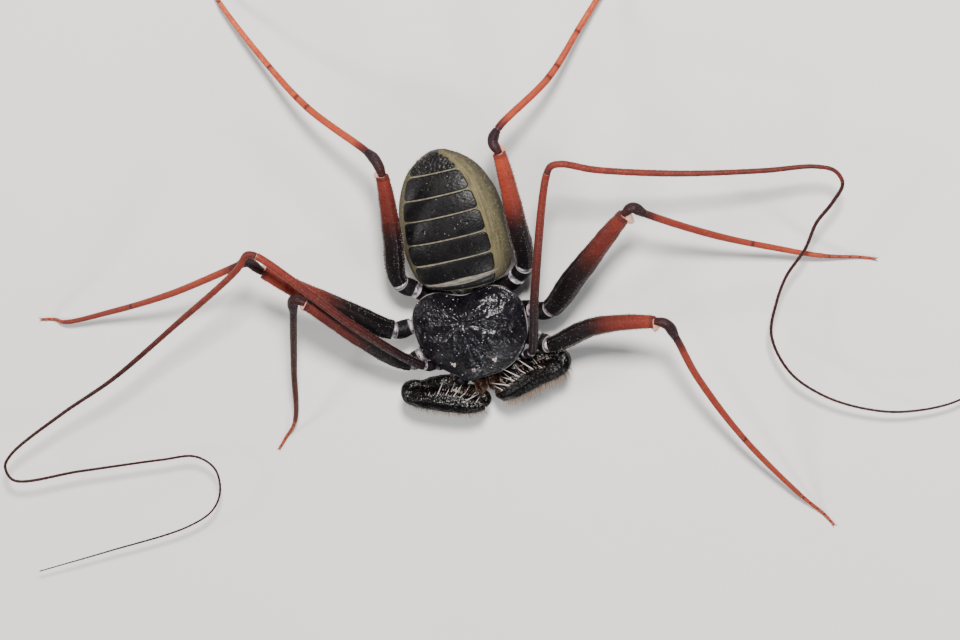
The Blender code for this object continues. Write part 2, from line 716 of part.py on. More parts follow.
def build_feelers():
    for name, side in SIDES.items():
        coxa_end = mirrored(FEELER_COXA_END, side)
        hip = mirrored(FEELER_HIP, side)
        knee, cap, shin = (Vector(p) for p in FEELER_KNEES[name])
        arch = hip.lerp(knee, 0.4) + Vector(FEELER_ARCH)
        path = route([coxa_end, hip, arch, knee, cap, shin, *FEELER_TIBIAE[name], *FEELER_TARSI[name]])
        run = lengths(path)
        hip_run = nearest(path, hip)
        knee_run = nearest(path, knee)
        joint_run = nearest(path, cap) + FEELER_TIBIA_LENGTH
        thirds = [joint_run + (run[-1] - joint_run) * i / 3 for i in range(4)]
        limb("feeler_hip_" + name, cut(path, JOINT_GAP, hip_run - JOINT_GAP / 2, 0.7),
             taper(0.5, 0.56, 0.48), "trochanter", 8)
        limb("feeler_femur_" + name, cut(path, hip_run + JOINT_GAP / 2, knee_run - JOINT_GAP / 2, 2.6),
             taper(*FEELER_FEMUR_RADII), "feeler", 8)
        wide, narrow = FEELER_TIBIA_RADII
        stations = cut(path, knee_run + JOINT_GAP / 2, joint_run - JOINT_GAP / 2, 2.4, 0.24)
        limb("feeler_tibia_" + name, stations, taper(0.4, wide, wide, narrow), "feeler", 8)
        for i, piece in enumerate(("base", "middle", "tip")):
            start = thirds[i] + JOINT_GAP / 2
            end = thirds[i + 1] - (JOINT_GAP / 2 if i < 2 else 0.0)
            limb("feeler_tarsus_%s_%s" % (piece, name), cut(path, start, end, 2.2, 0.3),
                 taper(FEELER_TARSUS_RADII[i], FEELER_TARSUS_RADII[i + 1]), "whip", 6)


def centre_on_floor():
    """Moves the whole animal so that the middle of its box's underside is the origin."""
    bpy.context.view_layer.update()
    lowest = Vector((1e9, 1e9, 1e9))
    highest = -lowest
    for body in bpy.context.scene.objects:
        for vert in body.data.vertices:
            for axis in range(3):
                lowest[axis] = min(lowest[axis], vert.co[axis])
                highest[axis] = max(highest[axis], vert.co[axis])
    shift = Vector((-(lowest.x + highest.x) / 2, -(lowest.y + highest.y) / 2, -lowest.z))
    for body in bpy.context.scene.objects:
        for vert in body.data.vertices:
            vert.co += shift
    return shift


clear_scene()
build_carapace()
build_eyes()
build_underbody()
ball("pedicel", (0.2, 3.15, 5.05), (1.3, 0.5, 0.5), "pedicel", 12)
build_abdomen()
build_chelicerae()
build_palps()
build_walking_legs()
build_feelers()
shift = centre_on_floor()
print("objects", len(bpy.context.scene.objects), "shift", [round(c * 1000, 3) for c in shift])
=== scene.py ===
# %% [markdown]
# # Tailless whip scorpion
#
# This lesson dresses a life-size model of a flat, long-legged arachnid. It walks on six legs. Its
# first pair of legs is drawn out to two whips that feel the way, and a pair of spined arms, the
# pedipalps, lies folded in front of the head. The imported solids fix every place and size. The
# pieces made here take their places with the real animal's ridges, plates, joints, spines and hairs.

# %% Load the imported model
import math

import bpy
import numpy as np
from mathutils import Matrix, Vector


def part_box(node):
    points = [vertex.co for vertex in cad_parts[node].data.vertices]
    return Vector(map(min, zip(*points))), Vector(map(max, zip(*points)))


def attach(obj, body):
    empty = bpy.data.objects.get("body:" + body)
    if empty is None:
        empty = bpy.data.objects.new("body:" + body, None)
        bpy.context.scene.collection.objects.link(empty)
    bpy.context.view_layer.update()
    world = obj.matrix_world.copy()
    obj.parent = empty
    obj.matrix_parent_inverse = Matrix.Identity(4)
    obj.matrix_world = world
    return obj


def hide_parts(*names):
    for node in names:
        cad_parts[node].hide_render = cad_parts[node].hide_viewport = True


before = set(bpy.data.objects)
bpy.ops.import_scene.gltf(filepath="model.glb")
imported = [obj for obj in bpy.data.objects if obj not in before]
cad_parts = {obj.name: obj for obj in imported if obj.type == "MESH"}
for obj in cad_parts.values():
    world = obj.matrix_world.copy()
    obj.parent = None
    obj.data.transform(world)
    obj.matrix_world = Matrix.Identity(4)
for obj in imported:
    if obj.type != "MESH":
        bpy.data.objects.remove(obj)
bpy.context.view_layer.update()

# %% [markdown]
# ## Millimetres on the animal's own middle line
#
# A small animal is easier to describe in millimetres, with its middle line at x = 0. The waist is a
# ball whose middle is known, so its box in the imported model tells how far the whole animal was
# moved, and one function turns any point into the model's metres.

# %% Units
MM = 0.001
UP = np.array((0.0, 0.0, 1.0))
SIDES = {"right": -1.0, "left": 1.0}
WAIST_MIDDLE = np.array((0.2, 3.15, 5.05))
lowest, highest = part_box("pedicel")
SHIFT = (np.array(lowest) + np.array(highest)) / 2 / MM - WAIST_MIDDLE
print("the middle line starts at", SHIFT.round(3), "mm")


def to_world(points):
    return (np.asarray(points, float) + SHIFT) * MM


def mirrored(points, side):
    return np.asarray(points, float) * (side, 1.0, 1.0)


def unit(vectors):
    return vectors / np.maximum(np.linalg.norm(vectors, axis=-1, keepdims=True), 1e-9)


def added(name, data):
    """A new object, linked into the scene."""
    made = bpy.data.objects.new(name, data)
    bpy.context.scene.collection.objects.link(made)
    return made


def clamp(values):
    return np.clip(values, 0.0, 1.0)


def soft_step(values, low, high):
    """0 below low and 1 above high, with a soft step."""
    step = clamp((values - low) / (high - low))
    return step * step * (3 - 2 * step)


def bell(offset, spread):
    """1 where the offset is 0, and close to 0 two spreads away."""
    return np.exp(-(offset / spread) ** 2)


def ring_angles(count, start=0.0):
    return 2 * np.pi * (np.arange(count) + start) / count


def lumps(x, y, size, seed):
    """Soft uneven relief between about -1 and 1, from many waves that cross in all directions."""
    draw = np.random.default_rng(seed)
    total = 0.0
    for turn, phase, stretch in zip(
        draw.uniform(0, np.pi, 9), draw.uniform(0, 7, 9), draw.uniform(0.7, 1.5, 9),
    ):
        wave = 2 * np.pi / (size * stretch)
        total = total + np.sin(wave * (x * np.cos(turn) + y * np.sin(turn)) + phase)
    return total / 3.6


# %% [markdown]
# ## Camera, floor and light
#
# The camera looks down on the animal's left rear, from 40 centimetres away through a long lens.
# Three axes give its direction: away from the animal, up in the picture, and right in the picture.
# A pale floor and three soft lamps stand for a studio. The lamp that makes the long gloss on the
# plates stands behind the animal's left side.

# %% Camera
camera = added("camera", bpy.data.cameras.new("camera"))
camera.data.lens = 135.0
camera.data.sensor_width = 36.0
away = Vector((0.2842, 0.2961, 0.9119)).normalized()
rightward = Vector((0.1268, 0.9312, -0.3418)).cross(away).normalized()
upward = away.cross(rightward)
stand = Matrix((rightward, upward, away)).transposed().to_4x4()
stand.translation = Vector(to_world((110.6, 113.48, 357.4)))
camera.matrix_world = stand
bpy.context.scene.camera = camera
print("camera at", [round(c, 3) for c in camera.matrix_world.translation])

# %% Lamps
# Place and size in metres, power in watts, and colour
LAMPS = {
    "key_lamp": ((0.17, 0.26, 0.42), 0.075, 6.0, (1.0, 0.98, 0.95)),
    "front_lamp": ((0.12, -0.42, 0.34), 0.16, 1.3, (0.95, 0.97, 1.0)),
    "side_lamp": ((-0.42, 0.08, 0.36), 0.16, 1.8, (1.0, 0.98, 0.96)),
}
for name, (place, size, power, colour) in LAMPS.items():
    lamp = added(name, bpy.data.lights.new(name, "AREA"))
    lamp.data.shape = "DISK"
    lamp.data.size = size
    lamp.data.energy = power
    lamp.data.color = colour
    lamp.location = place
    lamp.rotation_euler = (-Vector(place)).to_track_quat("-Z", "Y").to_euler()
world = bpy.context.scene.world or bpy.data.worlds.new("studio")
bpy.context.scene.world = world
world.use_nodes = True
world.node_tree.nodes["Background"].inputs["Color"].default_value = (0.86, 0.91, 1.0, 1.0)
world.node_tree.nodes["Background"].inputs["Strength"].default_value = 0.17
print(len(LAMPS), "lamps")

# %% [markdown]
# ## Shader sums in plain Python
#
# A finish is a tree of nodes. Written out node by node it is long and hard to read, so one small
# class wraps a socket: a sum in Python adds the Math nodes for it, and one method makes any other
# node from its settings and the values or wires of its sockets.


# %% Wires
class Wire:
    """A socket of a finish. Sums with it make Math nodes."""

    def __init__(self, tree, socket=None):
        self.tree = tree
        self.socket = socket

    def node(self, kind, settings=None, inputs=None, output=0):
        """Any node: its settings are set first, then its sockets."""
        made = self.tree.nodes.new(kind)
        for key, value in (settings or {}).items():
            if key == "stops":
                for _ in range(len(value) - 2):
                    made.color_ramp.elements.new(0.5)
                for element, (place, colour) in zip(made.color_ramp.elements, value):
                    element.position = place
                    element.color = (*colour, 1.0)
            else:
                setattr(made, key, value)
        for key, value in (inputs or {}).items():
            if isinstance(value, Wire):
                self.tree.links.new(value.socket, made.inputs[key])
            else:
                made.inputs[key].default_value = value
        return Wire(self.tree, made.outputs[output])

    def beside(self, output):
        """Another output of the same node."""
        return Wire(self.tree, self.socket.node.outputs[output])

    def maths(self, operation, first, second=0.0):
        return self.node("ShaderNodeMath", {"operation": operation}, {0: first, 1: second})

    def __add__(self, other):
        return self.maths("ADD", self, other)

    def __sub__(self, other):
        return self.maths("SUBTRACT", self, other)

    def __rsub__(self, other):
        return self.maths("SUBTRACT", other, self)

    def __mul__(self, other):
        return self.maths("MULTIPLY", self, other)

    __radd__ = __add__
    __rmul__ = __mul__

    def between(self, low, high):
        """0 below low and 1 above high, with a soft step."""
        limits = {"Value": self, "From Min": low, "From Max": high}
        return self.node("ShaderNodeMapRange", {"interpolation_type": "SMOOTHSTEP"}, limits)

    def mix(self, first, second):
        """One colour where this is 0, and the other where it is 1."""
        colours = [c if isinstance(c, Wire) else (*c, 1.0) for c in (first, second)]
        return self.node("ShaderNodeMix", {"data_type": "RGBA"}, {0: self, 6: colours[0], 7: colours[1]}, 2)

    def ramp(self, stops):
        return self.node("ShaderNodeValToRGB", {"stops": stops}, {"Fac": self})

    def field(self, name):
        """A value that the piece carries at each of its points."""
        return self.node("ShaderNodeAttribute", {"attribute_name": name}, output="Fac")

    def noise(self, size, detail=2.0):
        """Soft noise with lumps of a size in millimetres, on the place that this wire carries."""
        return self.node(
            "ShaderNodeTexNoise", None, {"Vector": self, "Scale": 1 / (size * MM), "Detail": detail},
        )

    def cells(self, size):
        """Distance to the nearest of many points, a size apart on average."""
        return self.node("ShaderNodeTexVoronoi", None, {"Vector": self, "Scale": 1 / (size * MM)})

    def flecks(self, size, reach, share):
        """Round dots: 1 inside a dot. Only a share of the cells has one."""
        near = self.cells(size)
        lot = self.node("ShaderNodeSeparateColor", None, {"Color": near.beside("Color")})
        return (1.0 - near.between(reach * 0.6, reach)) * lot.between(1.0 - share, 1.01 - share)

    def bump(self, depth):
        """Surface relief, this wire's value times a depth in millimetres."""
        return self.node("ShaderNodeBump", None, {"Height": self, "Distance": depth * MM}, "Normal")


FINISHES = {}


def finish(name, build, **sockets):
    """A material whose varying sockets come from build, and whose constant ones are given here."""
    made = bpy.data.materials.new(name)
    made.use_nodes = True
    shader = made.node_tree.nodes["Principled BSDF"]
    start = Wire(made.node_tree)
    place = start.node("ShaderNodeTexCoord", output="Object")
    for key, value in {**sockets, **build(start, place)}.items():
        if isinstance(value, Wire):
            made.node_tree.links.new(value.socket, shader.inputs[key])
        else:
            shader.inputs[key].default_value = value
    FINISHES[name] = made
    print("finish", name, len(made.node_tree.nodes), "nodes")


# %% [markdown]
# ## Finishes
#
# The shield over the head end is blue-black and glossy, with fine grains and pale flecks; the pale
# flecks and pale grains are partly painted glints. The plates of the abdomen are a duller green-black,
# and the soft skin beside them is olive with fine lines along the body, painted lighter where it faces
# up and darker towards the belly as painted light and shade. A leg's colour runs from black at its root
# over brick red to orange at the foot, so one colour ramp serves all the legs, and each point says where
# on the ramp it lies.

# %% Shield and abdomen finishes
def shield_look(start, place):
    base = place.noise(1.9, 3.0).between(0.4, 0.65).mix((0.0024, 0.0017, 0.0028), (0.0062, 0.0052, 0.0078))
    base = place.noise(0.28).between(0.55, 0.75).mix(base, (0.0135, 0.012, 0.0165))
    # The two kinds of flecks are partly painted glints: grey and near-white dots where the fine grains
    # would catch the light.
    base = place.flecks(0.21, 0.24, 0.3).mix(base, (0.036, 0.034, 0.043))
    base = place.flecks(0.42, 0.15, 0.14).mix(base, (0.26, 0.25, 0.28))
    return {
        "Base Color": start.field("rim").between(0.2, 0.9).mix(base, (0.27, 0.235, 0.23)),
        "Roughness": 0.17 + 0.26 * place.noise(0.5, 4.0),
        "Normal": ((1.0 - place.cells(0.21)) * 0.5 + 1.3 * place.noise(0.6, 3.0)).bump(0.045),
    }


def grain_look(start, place):
    base = place.noise(1.2).mix((0.002, 0.0015, 0.003), (0.006, 0.005, 0.009))
    return {
        # The white field paints some grains near white: partly real pale grains, partly painted glints.
        "Base Color": start.field("white").mix(base, (0.62, 0.6, 0.64)),
        "Roughness": 0.16 + 0.2 * place.noise(0.4),
    }


def abdomen_look(start, place):
    plate = start.field("plate")
    # The noise is stretched along the body: a radian round it counts as 6.5 mm, and a mm along it as 0.16
    streaks = {0: start.field("round") * 0.0065, 1: start.field("along") * 0.00016}
    lines = start.node("ShaderNodeCombineXYZ", None, streaks).noise(0.42, 3.0)
    # The soft skin is coloured by how far it faces up: painted light on top beside the plates, painted
    # shade on the flanks and belly.
    soft = start.field("slope").ramp([
        (0.0, (0.02, 0.017, 0.011)),
        (0.35, (0.028, 0.024, 0.016)),
        (0.6, (0.048, 0.041, 0.025)),
        (0.8, (0.098, 0.083, 0.042)),
        (0.93, (0.125, 0.104, 0.048)),
        (1.0, (0.105, 0.089, 0.044)),
    ])
    soft = (lines.between(0.4, 0.65) * 0.6).mix(soft, (0.032, 0.029, 0.017))
    soft = (place.noise(0.3, 3.0).between(0.5, 0.7) * 0.4).mix(soft, (0.15, 0.125, 0.065))
    soft = start.field("front").mix(soft, (0.03, 0.026, 0.018))
    hard = place.noise(1.6, 4.0).between(0.4, 0.66).mix((0.0024, 0.002, 0.0024), (0.0068, 0.006, 0.0066))
    hard = place.flecks(0.3, 0.2, 0.25).mix(hard, (0.028, 0.026, 0.023))
    hard = start.field("dent").mix(hard, (0.0012, 0.0012, 0.0012))
    pale = place.noise(0.6, 3.0).between(0.35, 0.65).mix((0.115, 0.1, 0.075), (0.2, 0.18, 0.145))
    base = start.field("pale").mix(soft, pale)
    base = plate.between(0.3, 0.6).mix(base, hard)
    base = start.field("fold").mix(base, (0.135, 0.13, 0.13))
    return {
        "Base Color": place.flecks(0.38, 0.13, 0.2).mix(base, (0.3, 0.285, 0.27)),
        "Roughness": 0.32 + 0.2 * place.noise(0.7, 4.0) + 0.3 * (1.0 - plate),
        "Normal": (
            (1.0 - place.cells(0.24)) * 0.8 + place.noise(0.25, 4.0) + (1.0 - plate) * lines
        ).bump(0.017),
    }


finish("shield_cuticle", shield_look, **{"Specular IOR Level": 0.32})
finish("grain", grain_look, **{"Specular IOR Level": 0.26})
finish("abdomen_cuticle", abdomen_look, **{"Specular IOR Level": 0.22})

# %% Limb finishes
# The red stops carry a little extra blue, partly the legs' own rose hue and partly a painted violet sheen.
LIMB_RAMP = [
    (0.0, (0.003, 0.0021, 0.0028)),
    (0.3, (0.0095, 0.0042, 0.0045)),
    (0.45, (0.04, 0.0078, 0.0055)),
    (0.6, (0.1, 0.0155, 0.011)),
    (0.75, (0.185, 0.026, 0.0155)),
    (0.9, (0.31, 0.048, 0.021)),
    (1.0, (0.56, 0.108, 0.033)),
]


def limb_look(start, place):
    shade = start.field("tint") + (place.noise(0.8, 3.0) - 0.5) * 0.12 + (place.noise(0.16) - 0.5) * 0.08
    shade = shade - 0.07 * (1.0 - place.cells(0.26))
    base = start.field("plum").mix(shade.ramp(LIMB_RAMP), (0.017, 0.0065, 0.01))
    base = (place.flecks(0.3, 0.16, 0.2) * start.field("dots")).mix(base, (0.28, 0.25, 0.26))
    return {
        "Base Color": start.field("rim").mix(base, (0.33, 0.28, 0.29)),
        "Roughness": 0.36 + 0.25 * place.noise(0.4, 3.0),
        "Normal": ((1.0 - place.cells(0.24)) + place.noise(0.3, 3.0)).bump(0.05),
    }


def membrane_look(start, place):
    base = place.noise(0.5, 4.0).between(0.38, 0.62).mix((0.06, 0.048, 0.066), (0.42, 0.37, 0.4))
    base = start.field("peach").mix(base, (0.56, 0.26, 0.17))
    # The shade field darkens the membrane: painted shade on the undersides of the hip rings and under the
    # body, and the dark colour of the other joints.
    base = start.field("shade").mix(base, (0.01, 0.0065, 0.007))
    return {
        "Base Color": base, "Roughness": 0.24 + 0.2 * place.noise(0.3),
        "Normal": place.noise(0.16, 3.0).bump(0.035),
    }


def arm_look(start, place):
    base = place.noise(0.9, 3.0).between(0.45, 0.7).mix((0.0016, 0.0011, 0.001), (0.0045, 0.003, 0.0026))
    base = start.field("brown").mix(base, (0.026, 0.008, 0.0045))
    return {
        "Base Color": place.flecks(0.28, 0.12, 0.12).mix(base, (0.14, 0.135, 0.14)),
        "Roughness": 0.12 + 0.24 * place.noise(0.35, 3.0),
        "Normal": ((1.0 - place.cells(0.24)) + 1.4 * place.noise(0.5, 4.0)).bump(0.05),
    }


def spine_look(start, place):
    # The pale stops near the root are a painted highlight along the glossy spine, which is dark.
    stops = [
        (0.0, (0.03, 0.022, 0.02)), (0.1, (0.4, 0.37, 0.35)), (0.6, (0.5, 0.46, 0.43)),
        (0.85, (0.2, 0.16, 0.14)), (1.0, (0.006, 0.004, 0.004)),
    ]
    return {"Base Color": start.field("tip").ramp(stops), "Roughness": 0.1 + 0.08 * place.noise(0.3)}


def hair_look(start, place):
    brown = start.field("lot").mix((0.07, 0.038, 0.022), (0.27, 0.17, 0.1))
    return {
        "Base Color": start.field("white").mix(brown, (0.55, 0.5, 0.46)),
        "Roughness": 0.4 + 0.1 * place.noise(0.5),
    }


def tooth_look(start, place):
    white = start.field("tip").between(0.2, 0.8) * start.field("white")
    return {
        "Base Color": white.mix((0.045, 0.01, 0.0075), (0.5, 0.45, 0.45)),
        "Roughness": 0.14 + 0.1 * place.noise(0.3),
    }


def eye_look(start, place):
    return {
        # The grey patches in these dark lenses are a painted reflection.
        "Base Color": place.noise(0.45).between(0.35, 0.65).mix((0.012, 0.01, 0.012), (0.11, 0.092, 0.1)),
        "Roughness": 0.04 + 0.04 * place.noise(0.2),
    }


def pearl_look(start, place):
    return {
        # The pale colour of the side lenses is partly a painted glint.
        "Base Color": place.noise(0.25).mix((0.24, 0.18, 0.14), (0.62, 0.53, 0.47)),
        "Roughness": 0.06 + 0.06 * place.noise(0.2),
    }


finish("limb_cuticle", limb_look, **{"Specular IOR Level": 0.15})
finish("joint_membrane", membrane_look, **{"Coat Weight": 0.4, "Coat Roughness": 0.12})
finish("arm_cuticle", arm_look, **{"Specular IOR Level": 0.16})
finish("spine_cuticle", spine_look, **{"Coat Weight": 0.6, "Coat Roughness": 0.05})
finish("hair", hair_look, **{"Specular IOR Level": 0.3})
finish("tooth", tooth_look)
finish("eye_lens", eye_look, **{"Coat Weight": 1.0, "Coat Roughness": 0.02})
finish("pearl_lens", pearl_look, **{"Coat Weight": 1.0, "Coat Roughness": 0.03})


# %% Floor
def floor_look(start, place):
    return {
        "Base Color": place.noise(40.0, 4.0).mix((0.7, 0.685, 0.66), (0.75, 0.735, 0.71)),
        "Roughness": 0.7 + 0.1 * place.noise(8.0),
    }


finish("floor_paper", floor_look)
floor_mesh = bpy.data.meshes.new("floor")
floor_mesh.from_pydata([(-3, -3, 0), (3, -3, 0), (3, 3, 0), (-3, 3, 0)], [], [(0, 1, 2, 3)])
floor_mesh.materials.append(FINISHES["floor_paper"])
floor = added("floor", floor_mesh)
print("floor ready")

# %% [markdown]
# ## Lines to follow and grids to skin
#
# Every limb follows a smooth line through a few measured points, and every hard part is a grid: rows
# of rings, closed by a fan at each end. A `Path` measures a line along its length and gives a frame
# of heading, side and up at any distance. A `Skin` gathers grids into one mesh with the values that
# the finishes read, and turns a grid round if its faces would point inwards.


# %% Paths
def smooth_line(points, step=0.05):
    """Centripetal Catmull-Rom line through the points, in any number of dimensions."""
    knots = np.array(points, float)
    knots = np.vstack((2 * knots[0] - knots[1], knots, 2 * knots[-1] - knots[-2]))
    pieces = []
    for p0, p1, p2, p3 in zip(knots, knots[1:], knots[2:], knots[3:]):
        t1 = np.linalg.norm(p1 - p0) ** 0.5
        t2 = t1 + np.linalg.norm(p2 - p1) ** 0.5
        t3 = t2 + np.linalg.norm(p3 - p2) ** 0.5
        count = max(3, int(np.linalg.norm(p2 - p1) / step))
        t = (t1 + (t2 - t1) * np.arange(count) / count)[:, None]
        a1 = p0 + (p1 - p0) * t / t1
        a2 = p1 + (p2 - p1) * (t - t1) / (t2 - t1)
        a3 = p2 + (p3 - p2) * (t - t2) / (t3 - t2)
        b1 = a1 + (a2 - a1) * t / t2
        b2 = a2 + (a3 - a2) * (t - t1) / (t3 - t1)
        pieces.append(b1 + (b2 - b1) * (t - t1) / (t2 - t1))
    return np.vstack((*pieces, knots[-2]))


class Path:
    """A smooth line, measured along its length in millimetres."""

    def __init__(self, points):
        self.line = smooth_line(points)
        steps = np.linalg.norm(np.diff(self.line, axis=0), axis=1)
        self.run = np.concatenate(([0.0], np.cumsum(steps)))
        self.length = self.run[-1]

    def at(self, distance):
        return np.stack([np.interp(distance, self.run, self.line[:, axis]) for axis in range(3)], axis=-1)

    def near(self, point):
        """Distance run where the line comes closest to a point."""
        return self.run[np.linalg.norm(self.line - np.array(point), axis=1).argmin()]

    def frame(self, distance):
        """Place, heading, side and up at each distance run."""
        heading = unit(self.at(distance + 0.15) - self.at(distance - 0.15))
        side = unit(np.cross(heading, UP))
        return self.at(distance), heading, side, np.cross(side, heading)

    def inside(self, distance, reach=1.2):
        """Direction to the hollow side of the line's bend."""
        ahead = unit(self.at(distance + reach) - self.at(distance))
        behind = unit(self.at(distance) - self.at(distance - reach))
        return unit(ahead - behind)


# %% Skins
class Skin:
    """Closed grids of points, in millimetres, gathered into one mesh piece."""

    def __init__(self, *finishes):
        self.finishes = finishes
        self.points = []
        self.faces = []
        self.slots = []
        self.fields = []
        self.count = 0

    def add(self, points, look=0, **fields):
        """One grid of rows of rings, closed at both ends."""
        rows, columns = points.shape[:2]
        ring = np.arange(rows * columns).reshape(rows, columns)
        turned = np.roll(ring, -1, axis=1)
        first, last = np.full(columns, rows * columns), np.full(columns, rows * columns + 1)
        quads = np.stack((ring[:-1], turned[:-1], turned[1:], ring[1:]), axis=-1).reshape(-1, 4)
        fans = np.concatenate((
            np.stack((turned[0], ring[0], first), axis=-1),
            np.stack((ring[-1], turned[-1], last), axis=-1),
        ))
        flat = np.concatenate((points.reshape(-1, 3), points[[0, -1]].mean(axis=1)))
        a, b, c, d = (flat[quads[:, corner]] - flat[0] for corner in range(4))
        volume = (np.cross(a, b) * c).sum() + (np.cross(a, c) * d).sum()
        a, b, c = (flat[fans[:, corner]] - flat[0] for corner in range(3))
        volume += (np.cross(a, b) * c).sum()
        if volume < 0:
            quads, fans = quads[:, ::-1], fans[:, ::-1]
        self.points.append(flat)
        self.faces += (quads + self.count).tolist() + (fans + self.count).tolist()
        self.slots += [look] * (len(quads) + len(fans))
        values = {}
        for name, value in fields.items():
            value = np.broadcast_to(value, (rows, columns))
            values[name] = np.concatenate((value.ravel(), value[[0, -1]].mean(axis=1)))
        self.fields.append((len(flat), values))
        self.count += len(flat)

    def piece(self, name):
        """The gathered grids as one object, in metres."""
        mesh = bpy.data.meshes.new(name)
        mesh.from_pydata(to_world(np.concatenate(self.points)).tolist(), [], self.faces)
        mesh.polygons.foreach_set("material_index", self.slots)
        mesh.shade_smooth()
        for label in sorted({label for count, values in self.fields for label in values}):
            values = [values.get(label, np.zeros(count)) for count, values in self.fields]
            field = mesh.attributes.new(label, "FLOAT", "POINT")
            field.data.foreach_set("value", np.concatenate(values).astype(np.float32))
        for look in self.finishes:
            mesh.materials.append(FINISHES[look])
        return added(name, mesh)


def wear(made, slot, *nodes):
    """The piece rides on the one body and stands for its solids."""
    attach(made, "root")
    if nodes:
        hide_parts(*nodes)
    print(made.name, len(made.data.polygons), "faces, for", len(nodes), "solids")


# %% [markdown]
# ## Hard segments, soft joints and thorns
#
# An arachnid's limb is a row of hard tubes. Each tube ends in a rolled rim, and a soft pale tube, the
# joint membrane, runs on through all of them and shows between two rims and in the hollow of a bend.
# Ridges run along the hard tubes, and fine grooves ring the ones that are made of many short joints.

# %% Segments
# How a rim rolls in: distance from the end in millimetres, and share of the width
RIM = np.array(((0.1, 0.3), (0.07, 0.66), (0.02, 0.88), (0.0, 0.95), (0.025, 0.99)))


def taper(*widths):
    """Width along a segment, from its values at even stations."""
    def width(share):
        place = np.clip(share, 0.0, 0.99999) * (len(widths) - 1)
        index = place.astype(int)
        step = place - index
        before, after = np.take(widths, index), np.take(widths, index + 1)
        return before + (after - before) * step * step * (3 - 2 * step)
    return width


def off_line(side, up, across, over):
    """Offsets from a line, made of amounts along its side and its up direction."""
    return side[:, None] * across[..., None] + up[:, None] * over[..., None]


class Segment:
    """Rings of one hard segment between two distances of a path."""

    def __init__(
        self, path, start, end, width, flat=1.0, sides=32, pitch=0.12, ridges=(), rings=None, wave=0.012,
        slant=(0, 0),
    ):
        middle = np.linspace(start + 0.07, end - 0.07, max(6, int((end - start) / pitch)))
        distance = np.concatenate((start + RIM[:, 0], middle, end - RIM[::-1, 0]))
        rim = np.concatenate((RIM[:, 1], np.ones(len(middle)), RIM[::-1, 1]))
        self.hard = rim == 1.0
        self.rim = (1.0 - clamp((np.minimum(distance - start, end - distance) - 0.03) / 0.05))[:, None]
        self.along = distance[:, None]
        self.share = clamp((self.along - start) / (end - start))
        self.angle = (ring_angles(sides, 0.5) - np.pi / 2)[None]
        girth = width(self.share) * rim[:, None]
        if rings:
            spacing, depth = rings
            phase = (self.along - start) / spacing % 1.0
            girth = girth * (1.0 - depth * bell(phase - 0.5, 0.1))
        swell = 1.0 + wave * np.sin(3 * self.angle + 2.1 * self.along) * np.sin(1.3 * self.along + start)
        for angle, height, spread in ridges:
            off = (self.angle - math.radians(angle) + np.pi) % (2 * np.pi) - np.pi
            swell = swell + height * bell(off, spread)
        place, self.heading, side, up = path.frame(distance)
        across, over = np.cos(self.angle), np.sin(self.angle)
        self.out = unit(off_line(side, up, across * flat, over))
        wide, high = across * girth * swell, over * girth * swell * flat
        self.points = place[:, None] + off_line(side, up, wide, high)
        near_start, near_end = (clamp(1 - off / 0.7) for off in (self.along - start, end - self.along))
        slide = (slant[0] * near_start + slant[1] * near_end) * over
        self.points = self.points + self.heading[:, None] * slide[..., None]

    def roots(self, rows, columns, draw):
        """Places on the surface at rows and columns, a little off the grid's own corners."""
        count = self.points.shape[1]
        here = self.points[rows, columns]
        ahead = self.points[np.minimum(rows + 1, len(self.points) - 1), columns] - here
        aside = self.points[rows, (columns + 1) % count] - here
        place = here + ahead * draw.random((len(rows), 1)) * 0.9 + aside * draw.random((len(rows), 1)) * 0.9
        return {
            "root": place,
            "out": self.out[rows, columns],
            "lie": self.heading[rows],
            "around": columns / count,
            "along": self.share[rows, 0],
        }

    def sown(self, count, weight, draw):
        """Random places, more of them where the weight is greater."""
        chance = np.broadcast_to(weight, self.points.shape[:2]) * self.hard[:, None]
        chance = chance.ravel() / chance.sum()
        rows, columns = np.divmod(draw.choice(chance.size, count, p=chance), self.points.shape[1])
        return self.roots(rows, columns, draw)

    def row(self, angle, spacing, draw, low=0.02, high=0.97):
        """Places in a row along the segment at one angle."""
        span = self.along[-1, 0] - self.along[0, 0]
        wanted = np.arange(low, high, spacing / max(span, spacing))
        wanted = wanted + draw.normal(0, 0.15, len(wanted)) * spacing / span
        hard = np.flatnonzero(self.hard)
        rows = hard[np.clip(np.searchsorted(self.share[hard, 0], wanted), 0, len(hard) - 2)]
        off = np.abs((self.angle[0] - math.radians(angle) + np.pi) % (2 * np.pi) - np.pi)
        return self.roots(rows, np.full(len(rows), off.argmin()), draw)


def width_at(stations):
    """Width at any distance, from stations of distance and width."""
    distances, widths = zip(*sorted(stations))
    return lambda distance: np.interp(distance, distances, widths)


def membrane(path, start, end, width, sides=24, pitch=0.12):
    """Rings of the soft tube that runs on through the hard ones."""
    distance = np.linspace(start, end, max(6, int((end - start) / pitch)))
    place, heading, side, up = path.frame(distance)
    angle = ring_angles(sides)[None]
    girth = width(distance)[:, None] * (1.0 + 0.04 * np.sin(distance * 21.0)[:, None])
    return place[:, None] + off_line(side, up, girth * np.cos(angle), girth * np.sin(angle))


